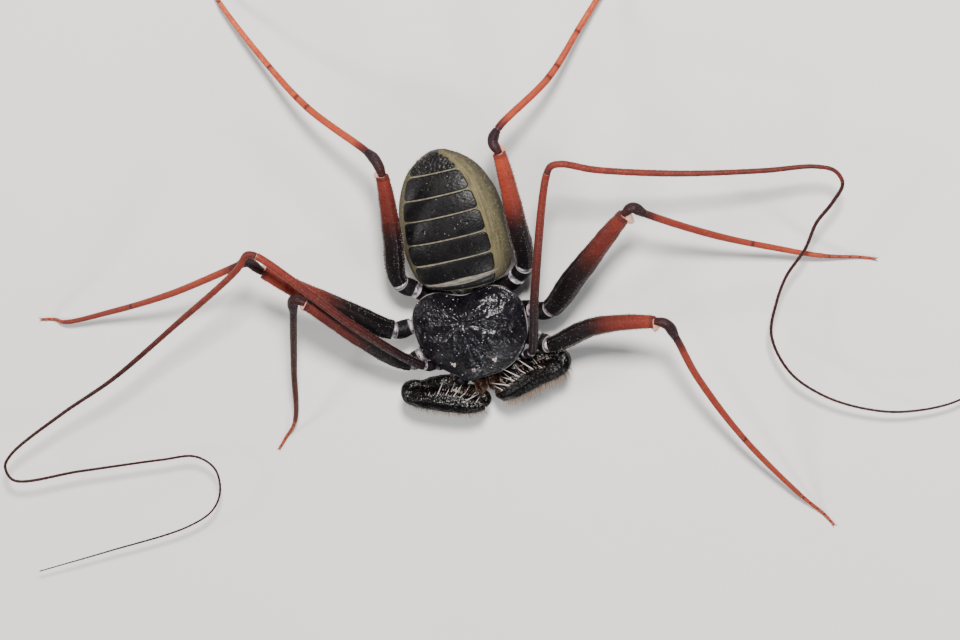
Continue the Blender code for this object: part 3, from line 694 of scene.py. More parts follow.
def thorn(skin, look, base, lean, length, radius, bend=0.12, sides=8, dark=0.0, **fields):
    """A curved cone with its root sunk in what bears it. dark is 1 where it is dark from root to tip,
    without the highlight painted along its lower part.
    """
    lean = unit(np.asarray(lean, float))
    side = unit(np.cross(lean, UP + 0.01))
    across = np.cross(side, lean)
    share = np.array((-0.06, 0.0, 0.08, 0.2, 0.35, 0.5, 0.65, 0.8, 0.92, 1.0))[:, None, None]
    thick = radius * np.array((1.25, 1.2, 0.85, 0.66, 0.54, 0.44, 0.33, 0.22, 0.12, 0.03))[:, None, None]
    angle = ring_angles(sides)[None, :, None]
    middle = np.asarray(base) + lean * share * length - across * (bend * length * share ** 2)
    points = middle + thick * (side * np.cos(angle) + across * np.sin(angle))
    skin.add(points, look, tip=np.clip(share[..., 0], dark, 1), **fields)


# %% [markdown]
# ## Planting teeth and hairs
#
# Thousands of small teeth and hairs repeat one shape, which is what Geometry Nodes are for. The tree
# takes a cloud of roots, each with a direction, a lie and two sizes, sets the shape on every root,
# rolls and stretches it a little at random, and makes the copies real. Every copy gets a small
# patch of the unwrap, placed by where its root sits on the animal.

# %% Planting tree
def planting_tree():
    tree = bpy.data.node_groups.new("planting", "GeometryNodeTree")
    kinds = {
        "Roots": "Geometry", "Shape": "Object", "Length": "Float", "Girth": "Float", "Seed": "Int",
        "Finish": "Material",
    }
    for label, kind in kinds.items():
        tree.interface.new_socket(label, in_out="INPUT", socket_type="NodeSocket" + kind)
    tree.interface.new_socket("Planted", in_out="OUTPUT", socket_type="NodeSocketGeometry")
    given = Wire(tree).node("NodeGroupInput", output="Roots")

    def stored(label, kind="FLOAT"):
        return given.node(
            "GeometryNodeInputNamedAttribute", {"data_type": kind}, {"Name": label}, "Attribute",
        )

    def chance(low, high, step):
        seed = given.beside("Seed")
        limits = {
            2: low, 3: high, "Seed": given.node("ShaderNodeMath", {"operation": "ADD"}, {0: seed, 1: step}),
        }
        return given.node("FunctionNodeRandomValue", {"data_type": "FLOAT"}, limits, 1)

    upright = given.node(
        "FunctionNodeAlignRotationToVector", {"axis": "Z"}, {"Vector": stored("out", "FLOAT_VECTOR")},
    )
    turned = {"Rotation": upright, "Vector": stored("lie", "FLOAT_VECTOR")}
    turned = given.node("FunctionNodeAlignRotationToVector", {"axis": "X", "pivot_axis": "Z"}, turned)
    roll = given.node(
        "FunctionNodeAxisAngleToRotation", None, {"Axis": (0.0, 0.0, 1.0), "Angle": chance(-0.6, 0.6, 1)},
    )
    turned = given.node(
        "FunctionNodeRotateRotation", {"rotation_space": "LOCAL"}, {"Rotation": turned, "Rotate By": roll},
    )
    girth = stored("girth") * given.beside("Girth")
    length = stored("length") * given.beside("Length") * chance(0.75, 1.2, 2)
    shape = given.node("GeometryNodeObjectInfo", None, {"Object": given.beside("Shape")}, "Geometry")
    planted = given.node("GeometryNodeInstanceOnPoints", None, {
        "Points": given,
        "Instance": shape,
        "Rotation": turned,
        "Scale": given.node("ShaderNodeCombineXYZ", None, {0: girth, 1: girth, 2: length}),
    })
    planted = given.node("GeometryNodeRealizeInstances", None, {"Geometry": planted})
    planted = given.node(
        "GeometryNodeSetMaterial", None, {"Geometry": planted, "Material": given.beside("Finish")},
    )
    out = tree.nodes.new("NodeGroupOutput")
    tree.links.new(planted.socket, out.inputs["Planted"])
    return tree


PLANTING = planting_tree()


def cone_shape(name, rows, sides, lean):
    """A pointed shape of height and radius 1 that leans over towards its own x."""
    skin = Skin("hair")
    share = np.linspace(0.0, 1.0, rows)[:, None]
    angle = ring_angles(sides)[None]
    girth = (1.0 - share) ** 0.7 + 0.04
    points = np.stack(
        (girth * np.cos(angle) + lean * share ** 2, girth * np.sin(angle), share + 0 * angle), axis=-1,
    )
    skin.add(points - SHIFT, tip=share)
    made = skin.piece(name)
    made.data.transform(Matrix.Scale(1 / MM, 4))
    return made


SHAPES = {
    "hair": cone_shape("hair_shape", 5, 4, 9.0), "tooth": cone_shape("tooth_shape", 3, 6, 0.4),
    "grain": cone_shape("grain_shape", 4, 7, 0.0),
}
print("planting tree with", len(PLANTING.nodes), "nodes")


# %% Planting
# Side of the patch of the unwrap that one copy covers
PATCH = 0.003


def plant(name, lots, shape, look, slot, seed):
    """Sets a shape on every root of several lots, and gives each copy its patch of the unwrap."""
    roots = {key: np.concatenate([lot[key] for lot in lots]) for key in lots[0]}
    count = len(roots["root"])
    mesh = bpy.data.meshes.new(name)
    mesh.from_pydata(to_world(roots["root"]).tolist(), [], [])
    draw = np.random.default_rng(seed)
    numbers = {
        "length": roots["length"] * MM, "girth": roots["girth"] * MM, "lot": draw.random(count),
        "white": roots["white"],
    }
    for label, values in numbers.items():
        mesh.attributes.new(label, "FLOAT", "POINT").data.foreach_set("value", values.astype(np.float32))
    for label in ("out", "lie"):
        mesh.attributes.new(label, "FLOAT_VECTOR", "POINT").data.foreach_set(
            "vector", roots[label].astype(np.float32).ravel(),
        )
    host = added(name + "_roots", mesh)
    growth = host.modifiers.new("planting", "NODES")
    growth.node_group = PLANTING
    given = {"Shape": SHAPES[shape], "Length": 1.0, "Girth": 1.0, "Seed": seed, "Finish": FINISHES[look]}
    for item in PLANTING.interface.items_tree:
        if item.in_out == "INPUT" and item.name in given:
            growth[item.identifier] = given[item.name]
    now = bpy.context.evaluated_depsgraph_get()
    made_mesh = bpy.data.meshes.new_from_object(
        host.evaluated_get(now), preserve_all_data_layers=True, depsgraph=now,
    )
    bpy.data.objects.remove(host)
    made_mesh.name = name
    made_mesh.shade_smooth()
    corners = len(SHAPES[shape].data.vertices)
    local = np.array([vertex.co for vertex in SHAPES[shape].data.vertices])
    patch = PATCH * np.stack((np.clip(local[:, 1], -1, 1) * 0.5 + 0.5, clamp(local[:, 2])), axis=-1)
    places = np.stack((roots["u"], roots["v"]), axis=-1).repeat(corners, axis=0)
    places = places + np.tile(patch, (count, 1))
    index = np.zeros(len(made_mesh.loops), int)
    made_mesh.loops.foreach_get("vertex_index", index)
    unwrap = made_mesh.uv_layers.new(name="OFBake")
    unwrap.data.foreach_set("uv", places[index].astype(np.float32).ravel())
    wear(added(name, made_mesh), slot)


def lot(roots, length, girth, rise=0.6, white=0.0, tile=(0, 0), tiles=4):
    """Roots ready for planting. rise is 1 where they stand up and 0 where they lie flat."""
    count = len(roots["root"])
    return {
        "root": roots["root"] - roots["out"] * 0.02,
        "out": unit(roots["out"] * rise + roots["lie"] * (1.0 - rise)),
        "lie": roots["lie"],
        "length": np.broadcast_to(length, count) * 1.0,
        "girth": np.broadcast_to(girth, count) * 1.0,
        "white": np.broadcast_to(white, count) * 1.0,
        "u": (tile[0] + roots["around"] * 0.97) / tiles,
        "v": (tile[1] + roots["along"] * 0.97) / tiles,
    }


# %% [markdown]
# ## The shield
#
# The carapace is a kidney-shaped low dome with a notch behind. Furrows run out from a pit in its
# middle between low swellings, one for the muscles of each limb, and a thin pale rim edges it. A
# dome like this is simplest as rings from the pit to the rim, each a smaller copy of the outline.

# %% Shield sizes
HALF_WIDTH = 6.3
WIDEST_Y = -0.9
FRONT_LENGTH = 5.98
REAR_LENGTH = 4.5
# Depth and width of the notch behind
NOTCH = (1.08, 2.4)
# Middle, height and width of the lobe in front of the eyes
FRONT_LOBE = (-1.45, 0.42, 1.0)
RIM_Z = 6.32
DOME = 2.55
PIT_Y = 0.1
PIT_DEPTH = 0.4
EYE_HILL_Y = -5.55
EYE_HILL_HEIGHT = 0.42
# Angles of the furrows from straight ahead, the same on both sides
FURROWS = (0.55, 1.25, 1.95, 2.65)
FURROW_DEPTH = 0.2
SWELLING_HEIGHT = 0.14
MIDDLE_GROOVE_DEPTH = 0.08
FOLD_HEIGHT = 0.065
LUMP_HEIGHT = 0.04
CREASE_HEIGHT = 0.03
SHIELD_ROWS = 120
SHIELD_COLUMNS = 420
# How far the rim stands above the shield beside it
RIM_LIFT = 0.07
# Rings from the rim round to the underside: scale of the outline, height, and how pale
SHIELD_UNDERSIDE = (
    (1.006, -0.08, 1.0), (1.004, -0.2, 0.8), (0.985, -0.34, 0.1), (0.93, -0.5, 0.0), (0.6, -0.42, 0.0),
)
SHIELD_GRAINS = 2200
# Number of near-white grains: partly real pale grains, partly painted glints on the granules.
PALE_GLINT_GRAINS = 130


def shield_outline(angle):
    """Outline at an angle from straight ahead, full in front and notched behind."""
    sine, cosine = np.sin(angle), np.cos(angle)
    front = cosine > 0
    power = np.where(front, 2.0 / 2.05, 2.0 / 2.8)
    x = HALF_WIDTH * np.sign(sine) * np.abs(sine) ** power
    reach = np.where(front, FRONT_LENGTH, REAR_LENGTH)
    y = WIDEST_Y - reach * np.sign(cosine) * np.abs(cosine) ** power
    lobe = FRONT_LOBE[1] * bell(x - FRONT_LOBE[0], FRONT_LOBE[2])
    y = y - np.where(front, lobe, NOTCH[0] * bell(x, NOTCH[1]))
    return x, y


def shield_height(x, y, share):
    """Top of the shield. share is 0 at the pit and 1 at the rim."""
    z = RIM_Z + DOME * (1.0 - share ** 2.3)
    z = z - PIT_DEPTH * np.exp(-((x / 0.42) ** 2 + ((y - PIT_Y) / 0.5) ** 2))
    z = z + EYE_HILL_HEIGHT * np.exp(-((x / 0.55) ** 2 + ((y - EYE_HILL_Y) / 0.5) ** 2))
    heading = np.abs(np.arctan2(x, PIT_Y - y))
    body = clamp(4.0 * share * (1.0 - share))
    inner = clamp((0.975 - share) / 0.05) * clamp(share / 0.15)
    for furrow in FURROWS:
        z = z - FURROW_DEPTH * body * bell(heading - furrow - 0.09 * np.sin(9 * share + furrow), 0.12)
        z = z + SWELLING_HEIGHT * body * bell(heading - furrow - 0.34, 0.17)
    z = z - MIDDLE_GROOVE_DEPTH * body * bell(x, 0.12) * (y < 0)
    folds = np.sin(22.0 * heading + 2.2 * np.sin(6.0 * share + x) + lumps(x, y, 2.5, 3))
    z = z + FOLD_HEIGHT * folds * inner * clamp(share * 1.6 - 0.2) * (0.5 + 0.5 * lumps(x, y, 3.0, 4))
    z = z + LUMP_HEIGHT * lumps(x, y, 1.1, 1) * inner
    return z + CREASE_HEIGHT * (1.0 - 1.6 * np.abs(lumps(x, y, 0.75, 2))) * inner


def share_of(x, y):
    """Where a point lies between the pit and the rim."""
    ex, ey = shield_outline(ring_angles(720))
    angles = np.arctan2(ex, PIT_Y - ey)
    nearest = np.abs(angles - np.arctan2(x, PIT_Y - y)).argmin()
    return math.hypot(x, y - PIT_Y) / math.hypot(ex[nearest], ey[nearest] - PIT_Y)


# %% Shield
def build_shield():
    share = np.concatenate((np.linspace(0.01, 0.965, SHIELD_ROWS), (0.974, 0.982, 0.99, 1.0)))[:, None]
    angle = ring_angles(SHIELD_COLUMNS, 0.5)
    outline_x, outline_y = shield_outline(angle)
    # How pale the rim is, varying unevenly along the outline.
    rim_paleness = np.clip(0.55 + 0.5 * lumps(outline_x, outline_y, 5.0, 6), 0.1, 1.0)
    x = outline_x * share
    y = PIT_Y + (outline_y - PIT_Y) * share
    z = shield_height(x, y, share) + RIM_LIFT * clamp((share - 0.97) / 0.015)
    rows = [np.stack((x, y, z), axis=-1)]
    fields = [clamp((share - 0.985) / 0.012)]
    for scale, height, rim in SHIELD_UNDERSIDE:
        level = np.full(SHIELD_COLUMNS, RIM_Z + RIM_LIFT + height)
        ring = (outline_x * scale, PIT_Y + (outline_y - PIT_Y) * scale, level)
        rows.append(np.stack(ring, axis=-1)[None])
        fields.append(np.array([[rim]]))
    skin = Skin("shield_cuticle")
    skin.add(np.concatenate(rows), rim=np.concatenate(fields) * rim_paleness)
    wear(skin.piece("carapace_skin"), "carapace", "carapace")

    draw = np.random.default_rng(11)
    chance = (share * np.ones_like(x)).ravel()
    pick = draw.choice(x.size, SHIELD_GRAINS, p=chance / chance.sum())
    near = np.stack((x, y, z), axis=-1).reshape(-1, 3)[pick]
    roots = {
        "root": near, "out": unit(near * (0.12, 0.12, 0.0) + UP),
        "lie": unit(draw.normal(size=(SHIELD_GRAINS, 3))),
    }
    roots["around"], roots["along"] = near[:, 0] / 14 + 0.5, near[:, 1] / 14 + 0.5
    size = draw.uniform(0.03, 0.058, SHIELD_GRAINS)
    # The first grains are the near-white ones, partly painted glints.
    size[:PALE_GLINT_GRAINS] = draw.uniform(0.035, 0.075, PALE_GLINT_GRAINS)
    white = draw.uniform(0.3, 1.0, SHIELD_GRAINS)
    white[PALE_GLINT_GRAINS:] = 0.0
    plant(
        "carapace_grains", [lot(roots, size * 1.05, size, rise=1.0, white=white, tiles=1)], "grain",
        "grain", "carapace", 5,
    )


build_shield()


# %% [markdown]
# ## Eyes
#
# Two small lenses share the hill near the front edge, and a group of three pale ones sits on each
# side. A lens is a low dome of glass, a ball sunk to its waist.

# %% Eyes
MIDDLE_EYE_X = 0.3
MIDDLE_EYE_RADIUS = 0.29
SIDE_EYES_X = {"right": 2.3, "left": 2.05}
SIDE_EYES_Y = -4.75
SIDE_EYE_RADIUS = 0.13
# Places of the three side eyes in their group: outward and backward
SIDE_EYE_PLACES = ((0.0, 0.06), (0.28, 0.09), (0.13, -0.19))


def lens(skin, centre, radius, flat=0.85):
    polar = np.linspace(0.12, np.pi - 0.12, 12)[:, None]
    angle = ring_angles(20)[None]
    x, y, z = np.sin(polar) * np.cos(angle), np.sin(polar) * np.sin(angle), flat * np.cos(polar) + 0 * angle
    skin.add(np.asarray(centre) + np.stack((x, y, z), axis=-1) * radius)


middle_eyes = Skin("eye_lens")
side_eyes = {name: Skin("pearl_lens") for name in SIDES}
for name, side in SIDES.items():
    x, y = MIDDLE_EYE_X * side, EYE_HILL_Y
    lens(middle_eyes, (x, y, shield_height(x, y, share_of(x, y)) + 0.08), MIDDLE_EYE_RADIUS, 0.7)
    for dx, dy in SIDE_EYE_PLACES:
        x, y = (SIDE_EYES_X[name] + dx) * side, SIDE_EYES_Y + dy
        lens(side_eyes[name], (x, y, shield_height(x, y, share_of(x, y)) + 0.05), SIDE_EYE_RADIUS)
    node = "eyes_lateral_" + name
    wear(side_eyes[name].piece("eyes_lateral_lenses_" + name), node, node)
wear(middle_eyes.piece("eyes_median_lenses"), "eye_median_right", "eye_median_right", "eye_median_left")

# %% [markdown]
# ## The abdomen
#
# The abdomen is a soft oval bag with hard plates across its back and belly. It is one grid. Each
# point finds its plate and its distance to the plate's rounded outline, and that distance lifts the
# plate, cuts the groove round it and says where the pale skin between two plates shows.

# %% Abdomen sizes
# Place along the body, half width, top and underside at the plates' borders
ABDOMEN = np.array((
    (3.95, 2.6, 6.75, 4.5),
    (4.35, 4.2, 7.55, 3.9),
    (5.1, 5.2, 8.1, 3.5),
    (7.1, 5.75, 8.6, 3.1),
    (9.5, 5.88, 8.75, 3.0),
    (12.0, 5.65, 8.45, 3.1),
    (14.15, 5.1, 7.9, 3.4),
    (16.45, 3.85, 7.0, 3.95),
    (17.75, 2.3, 6.35, 4.4),
    (18.35, 1.05, 5.95, 4.7),
))
MIDDLE_X = 0.5
# How far the front leans forward over the waist, per mm of height, and where that ends
LEAN = 0.5
LEAN_END_Y = 7.1
ABDOMEN_ROWS = 330
# Closing rows behind the last one: place along the body and share of the girth
TAIL_ROWS = ((18.44, 0.85), (18.5, 0.6), (18.53, 0.3))
# Start, end and count of the columns across the belly's left half, the back, and the belly's right half
ABDOMEN_ARCS = ((-90, -15, 28), (-15, 195, 204), (195, 270, 28))
WAIST_Z = 5.15
# How far a plate stands up, its share of the half width, and how far it lies to the animal's right
PLATE_LIFT = 0.17
PLATE_SHARE = 0.77
PLATE_SHIFT = 0.25
# Half of the skin that shows between two plates
HALF_GAP = 0.08
FOLD_Y = 5.2
# Dents in each plate: distance from the middle line, and place behind the plate's middle
DENTS = ((2.45, 0.1), (1.1, -0.25))
ABDOMEN_GRAINS = 1300
ABDOMEN_HAIRS = 420


# %% Abdomen
def build_abdomen():
    profile = smooth_line(ABDOMEN, 0.02)
    borders = ABDOMEN[:, 0]
    tail_y, tail_girth = zip(*TAIL_ROWS)
    y = np.concatenate((np.linspace(borders[0], borders[-1], ABDOMEN_ROWS), tail_y))
    half_width, top, under = (np.interp(y, profile[:, 0], profile[:, i])[:, None] for i in (1, 2, 3))
    closing = np.concatenate((np.ones(ABDOMEN_ROWS), tail_girth))[:, None]
    angle = np.concatenate([np.linspace(start, end, count, False) for start, end, count in ABDOMEN_ARCS])
    angle = np.radians(angle)[None]
    cosine, sine = np.cos(angle), np.sin(angle)
    half = (top - under) / 2
    y = y[:, None]
    x = half_width * closing * np.sign(cosine) * np.abs(cosine) ** 0.85
    z = half * closing * np.sign(sine) * np.abs(sine) ** 0.9
    to_tip = clamp((y - 7.0) / 10.0)
    station = y - (0.08 * x + 0.1) * (sine > 0) * clamp((18.2 - y) / 2.0) * np.clip((y - 3.9) / 1.5, 0.3, 1)
    index = np.clip(np.searchsorted(borders, station, side="right") - 1, 0, len(borders) - 2)
    first, last = borders[index], borders[index + 1]
    hump = bell(x - 0.4, 2.6)
    first = np.where(index == 2, first + 0.16 + 0.16 * hump, np.where(index == 0, first - 1.0, first))
    last = np.where(index == 1, last + 0.06 - 0.12 * hump, np.where(index == 8, last + 0.4, last))
    first, last = first + HALF_GAP, last - HALF_GAP
    first, last = np.where(index == 8, borders[7] + 0.075, first), np.where(index == 7, borders[9], last)
    middle, reach = (first + last) / 2, (last - first) / 2
    limit = PLATE_SHARE * half_width * np.where(sine > 0, 1.0 - 0.05 * to_tip, 0.8)
    round_off = np.minimum(reach * 0.5, np.where(x > 0, 0.55, 0.4))
    ragged = 0.09 * np.sin(7.0 * x + 3.0 * np.sin(5.0 * y)) * clamp((y - 16.3) / 1.0)
    off_middle = np.abs(x + PLATE_SHIFT + 0.3 * to_tip)
    off_x = off_middle - (limit - round_off) + ragged
    off_y = np.abs(station - middle) - (reach - round_off)
    outside = (
        np.hypot(np.maximum(off_x, 0), np.maximum(off_y, 0))
        + np.minimum(np.maximum(off_x, off_y), 0) - round_off
    )
    plate = clamp(0.5 - outside / 0.16)
    plate = plate * plate * (3 - 2 * plate)
    crown = clamp(1.0 - ((station - middle) / reach) ** 2) * plate
    dent = sum(
        np.exp(-((np.abs(x) - dx) ** 2 + (station - middle - dy) ** 2) / 0.012)
        for dx, dy in DENTS
    )
    dent = dent * plate * (sine > 0) * (index > 1)
    fold_line = FOLD_Y + 0.04 * np.sin(2.3 * x) + 0.02 * np.sin(5.9 * x + 1.0)
    fold = (
        bell(station - fold_line, 0.045 + 0.065 * hump) * clamp((limit + 0.3 - np.abs(x)) / 0.6)
        * (sine > 0)
    )
    lift = PLATE_LIFT * plate + 0.06 * crown - 0.07 * dent + fold * (0.1 + 0.03 * np.sin(6.0 * x))
    ridges = np.sin(angle * 118.0 + 0.8 * np.sin(y * 1.3)) * (1 - plate) * (np.abs(x) > limit)
    lift = lift + 0.012 * ridges + 0.008 * np.sin(9.0 * x + 3.0 * np.sin(5.0 * y)) * np.sin(8.0 * y)
    lift = lift + 0.03 * lumps(x, y, 0.42, 8) * np.clip((y - 15.8) / 0.8, 0.05, 1) * plate
    normal = np.stack((cosine / half_width, 0 * sine * y, sine / half), axis=-1)
    forward = LEAN * z * clamp((LEAN_END_Y - y) / (LEAN_END_Y - borders[0]))
    points = (
        np.stack((MIDDLE_X + x, y - forward, (top + under) / 2 + z), axis=-1)
        + unit(normal) * (lift * closing)[..., None]
    )
    across = clamp((limit - 0.1 - off_middle) / 0.35)
    # How far the soft skin faces up, which makes its colour lighter on top and darker below: painted light
    # and shade.
    slope = clamp(np.where(sine > 0, 0.35 + 0.75 * sine, 0.35 + 0.5 * sine)) + 0.12 * fold
    skin = Skin("abdomen_cuticle", "joint_membrane")
    skin.add(
        points, plate=plate, dent=clamp(dent),
        pale=clamp(across * (1 - plate) * 0.85), fold=clamp(1.2 * fold - 0.1),
        slope=slope, round=angle, along=y, front=0.75 * clamp((7.2 - y) / 2.6),
    )
    waist = Path(((0.1, 2.1, 5.0), (0.2, 3.15, 5.05), (0.3, 4.3, 5.5)))
    tube = membrane(waist, 0.0, waist.length, lambda d: 1.25 - 0.12 * np.sin(d * 1.5), sides=32)
    tube[..., 2] = WAIST_Z + (tube[..., 2] - WAIST_Z) * 0.5
    skin.add(tube, 1, shade=0.9)
    wear(skin.piece("abdomen_skin"), "abdomen", "abdomen", "pedicel")

    draw = np.random.default_rng(23)
    rows, columns = x.shape

    def sown(count, chance):
        """Random places on the abdomen, more of them where the chance is greater."""
        pick = draw.choice(chance.size, count, p=chance.ravel() / chance.ravel().sum())
        return {
            "root": points.reshape(-1, 3)[pick],
            "out": unit(normal).reshape(-1, 3)[pick],
            "lie": np.tile((0.0, 1.0, 0.0), (count, 1)),
            "around": pick % columns / columns,
            "along": pick // columns / rows,
        }

    roots = sown(ABDOMEN_GRAINS, (plate + 0.2) * (sine > 0))
    size = draw.uniform(0.025, 0.05, ABDOMEN_GRAINS)
    plant(
        "abdomen_grains", [lot(roots, size, size, rise=1.0, tiles=1)], "grain", "abdomen_cuticle",
        "abdomen", 6,
    )
    roots = sown(ABDOMEN_HAIRS, np.clip((y - 14.0) / 4.5, 0.02, 1) ** 2 * (0.4 + 0.6 * (sine > -0.3)))
    plant("abdomen_hairs", [lot(roots, 0.24, 0.011, white=0.35, tiles=1)], "hair", "hair", "abdomen", 7)


build_abdomen()

# %% [markdown]
# ## Walking legs
#
# Each walking leg has a short ring at the hip, a long flat femur, a dark knee piece, a shin and a
# thin jointed foot with two claws. The points of its line are the ones that the solids were made
# from. The hollow of the knee shows a wedge of pale membrane, and the femur carries three rows of
# pale-tipped teeth along each side.

# %% Leg sizes
COXA_ENDS = {"leg_2": (6.4, -4.0, 4.7), "leg_3": (6.7, -0.55, 4.85), "leg_4": (5.6, 3.3, 4.85)}
HIPS = {"leg_2": (7.85, -4.6, 5.25), "leg_3": (8.5, -0.65, 5.6), "leg_4": (7.0, 4.7, 5.75)}
# The hips of the hind pair stand a little to the animal's left
HIND_SHIFT_X = 0.2
# Knee, outermost point of the knee piece, and start of the shin
KNEES = {
    "leg_2_right": ((-15.4, 5.9, 12.65), (-16.6, 6.4, 12.45), (-17.3, 4.8, 11.6)),
    "leg_3_right": ((-19.55, 9.75, 11.5), (-21.05, 11.05, 11.4), (-22.35, 10.65, 11.0)),
    "leg_4_right": ((-4.2, 18.3, 11.4), (-4.6, 20.0, 11.2), (-5.5, 20.9, 10.6)),
    "leg_2_left": ((21.2, -1.8, 10.9), (22.4, -2.3, 10.9), (22.9, -4.0, 10.3)),
    "leg_3_left": ((20.5, 10.3, 11.3), (21.5, 10.9, 11.2), (22.5, 9.95, 10.6)),
    "leg_4_left": ((9.0, 19.1, 12.1), (8.6, 20.3, 11.9), (9.2, 21.4, 11.3)),
}
SHINS = {
    "leg_2_right": ((-20.9, -3.5, 6.0), (-23.8, -10.8, 1.7)),
    "leg_3_right": ((-32.2, 7.4, 7.2), (-41.8, 5.0, 3.1), (-47.9, 4.0, 1.1)),
    "leg_4_right": ((-11.9, 25.5, 7.0), (-16.4, 30.2, 3.8), (-20.9, 37.1, 1.3)),
    "leg_2_left": ((23.7, -9.4, 8.0), (26.5, -18.3, 4.5), (30.5, -26.5, 1.4)),
    "leg_3_left": ((28.1, 5.3, 6.2), (33.5, 2.0, 3.0), (38.1, -0.2, 1.1)),
    "leg_4_left": ((14.5, 24.9, 7.0), (18.3, 29.2, 3.4), (22.7, 34.1, 1.1)),
}
FEET = {
    "leg_2_right": (-27.0, -14.4),
    "leg_3_right": (-51.0, 4.4),
    "leg_4_right": (-22.7, 40.5),
    "leg_2_left": (33.3, -31.0),
    "leg_3_left": (43.3, -1.6),
    "leg_4_left": (26.3, 38.2),
}
FEMUR_BOWS = {
    "leg_2_right": (-0.05, -0.05, 0.65),
    "leg_3_right": (-0.05, -0.05, 0.7),
    "leg_4_right": (0.2, 0.0, 0.6),
    "leg_2_left": (0.3, 1.2, 0.8),
    "leg_3_left": (0.0, 0.0, 0.9),
    "leg_4_left": (0.35, 0.0, 0.6),
}
FEMUR_WIDTHS = {"leg_2": (1.05, 0.68), "leg_3": (1.28, 0.76), "leg_4": (1.1, 0.7)}
FOOT_AXIS_Z = 0.17
FOOT_LENGTH = 1.6
# How much further out the ring at the hip ends than on the other legs
HIP_REACHES = {"leg_3_left": 0.75, "leg_3_right": 0.35}
# Share of the femur that is black, how red its end and the shin are, and how much redder the shin gets
LEG_TINTS = {
    "leg_2_right": (0.2, 0.54, 0.4, 0.16),
    "leg_3_right": (0.3, 0.74, 0.82, -0.1),
    "leg_4_right": (0.34, 0.62, 0.92, 0.06),
    "leg_2_left": (0.34, 0.67, 0.78, 0.06),
    "leg_3_left": (0.34, 0.6, 0.76, 0.12),
    "leg_4_left": (0.3, 0.81, 0.9, 0.08),
}
# Share of the shin below the knee that is still plum, where it is more than a tenth
PLUM_SHARES = {"leg_2_right": 0.22}
# Where thin joint lines cross the shin
SHIN_LINES = {"leg_2": (0.62,), "leg_3": (0.62,), "leg_4": (0.36, 0.43, 0.63)}
# How far the soft skin stands out of the hollow of the knee
KNEE_BULGES = {
    "leg_4_left": 1.7, "leg_3_left": 1.6, "leg_2_left": 1.4, "leg_4_right": 1.35, "leg_2_right": 1.15,
}
# Angle round the femur, height and spread of each ridge
FEMUR_RIDGES = ((52, 0.07, 0.16), (128, 0.07, 0.16), (-50, 0.05, 0.2), (-130, 0.05, 0.2))
# Angle, paleness and length of the teeth in each row along the femur
TOOTH_ROWS = (
    (52, 0.6, 0.13), (128, 0.6, 0.13), (20, 1.0, 0.17), (160, 1.0, 0.17),
    (-20, 1.0, 0.17), (-160, 1.0, 0.17),
)
SMALL_TEETH = 240
print(len(KNEES), "walking legs")


# %% Walking legs
def hip_points(pair, side):
    """End of the coxa and bend of the hip, in millimetres."""
    nudge = (HIND_SHIFT_X if pair == "leg_4" else 0.0, 0.0, 0.0)
    return mirrored(COXA_ENDS[pair], side) + nudge, mirrored(HIPS[pair], side) + nudge


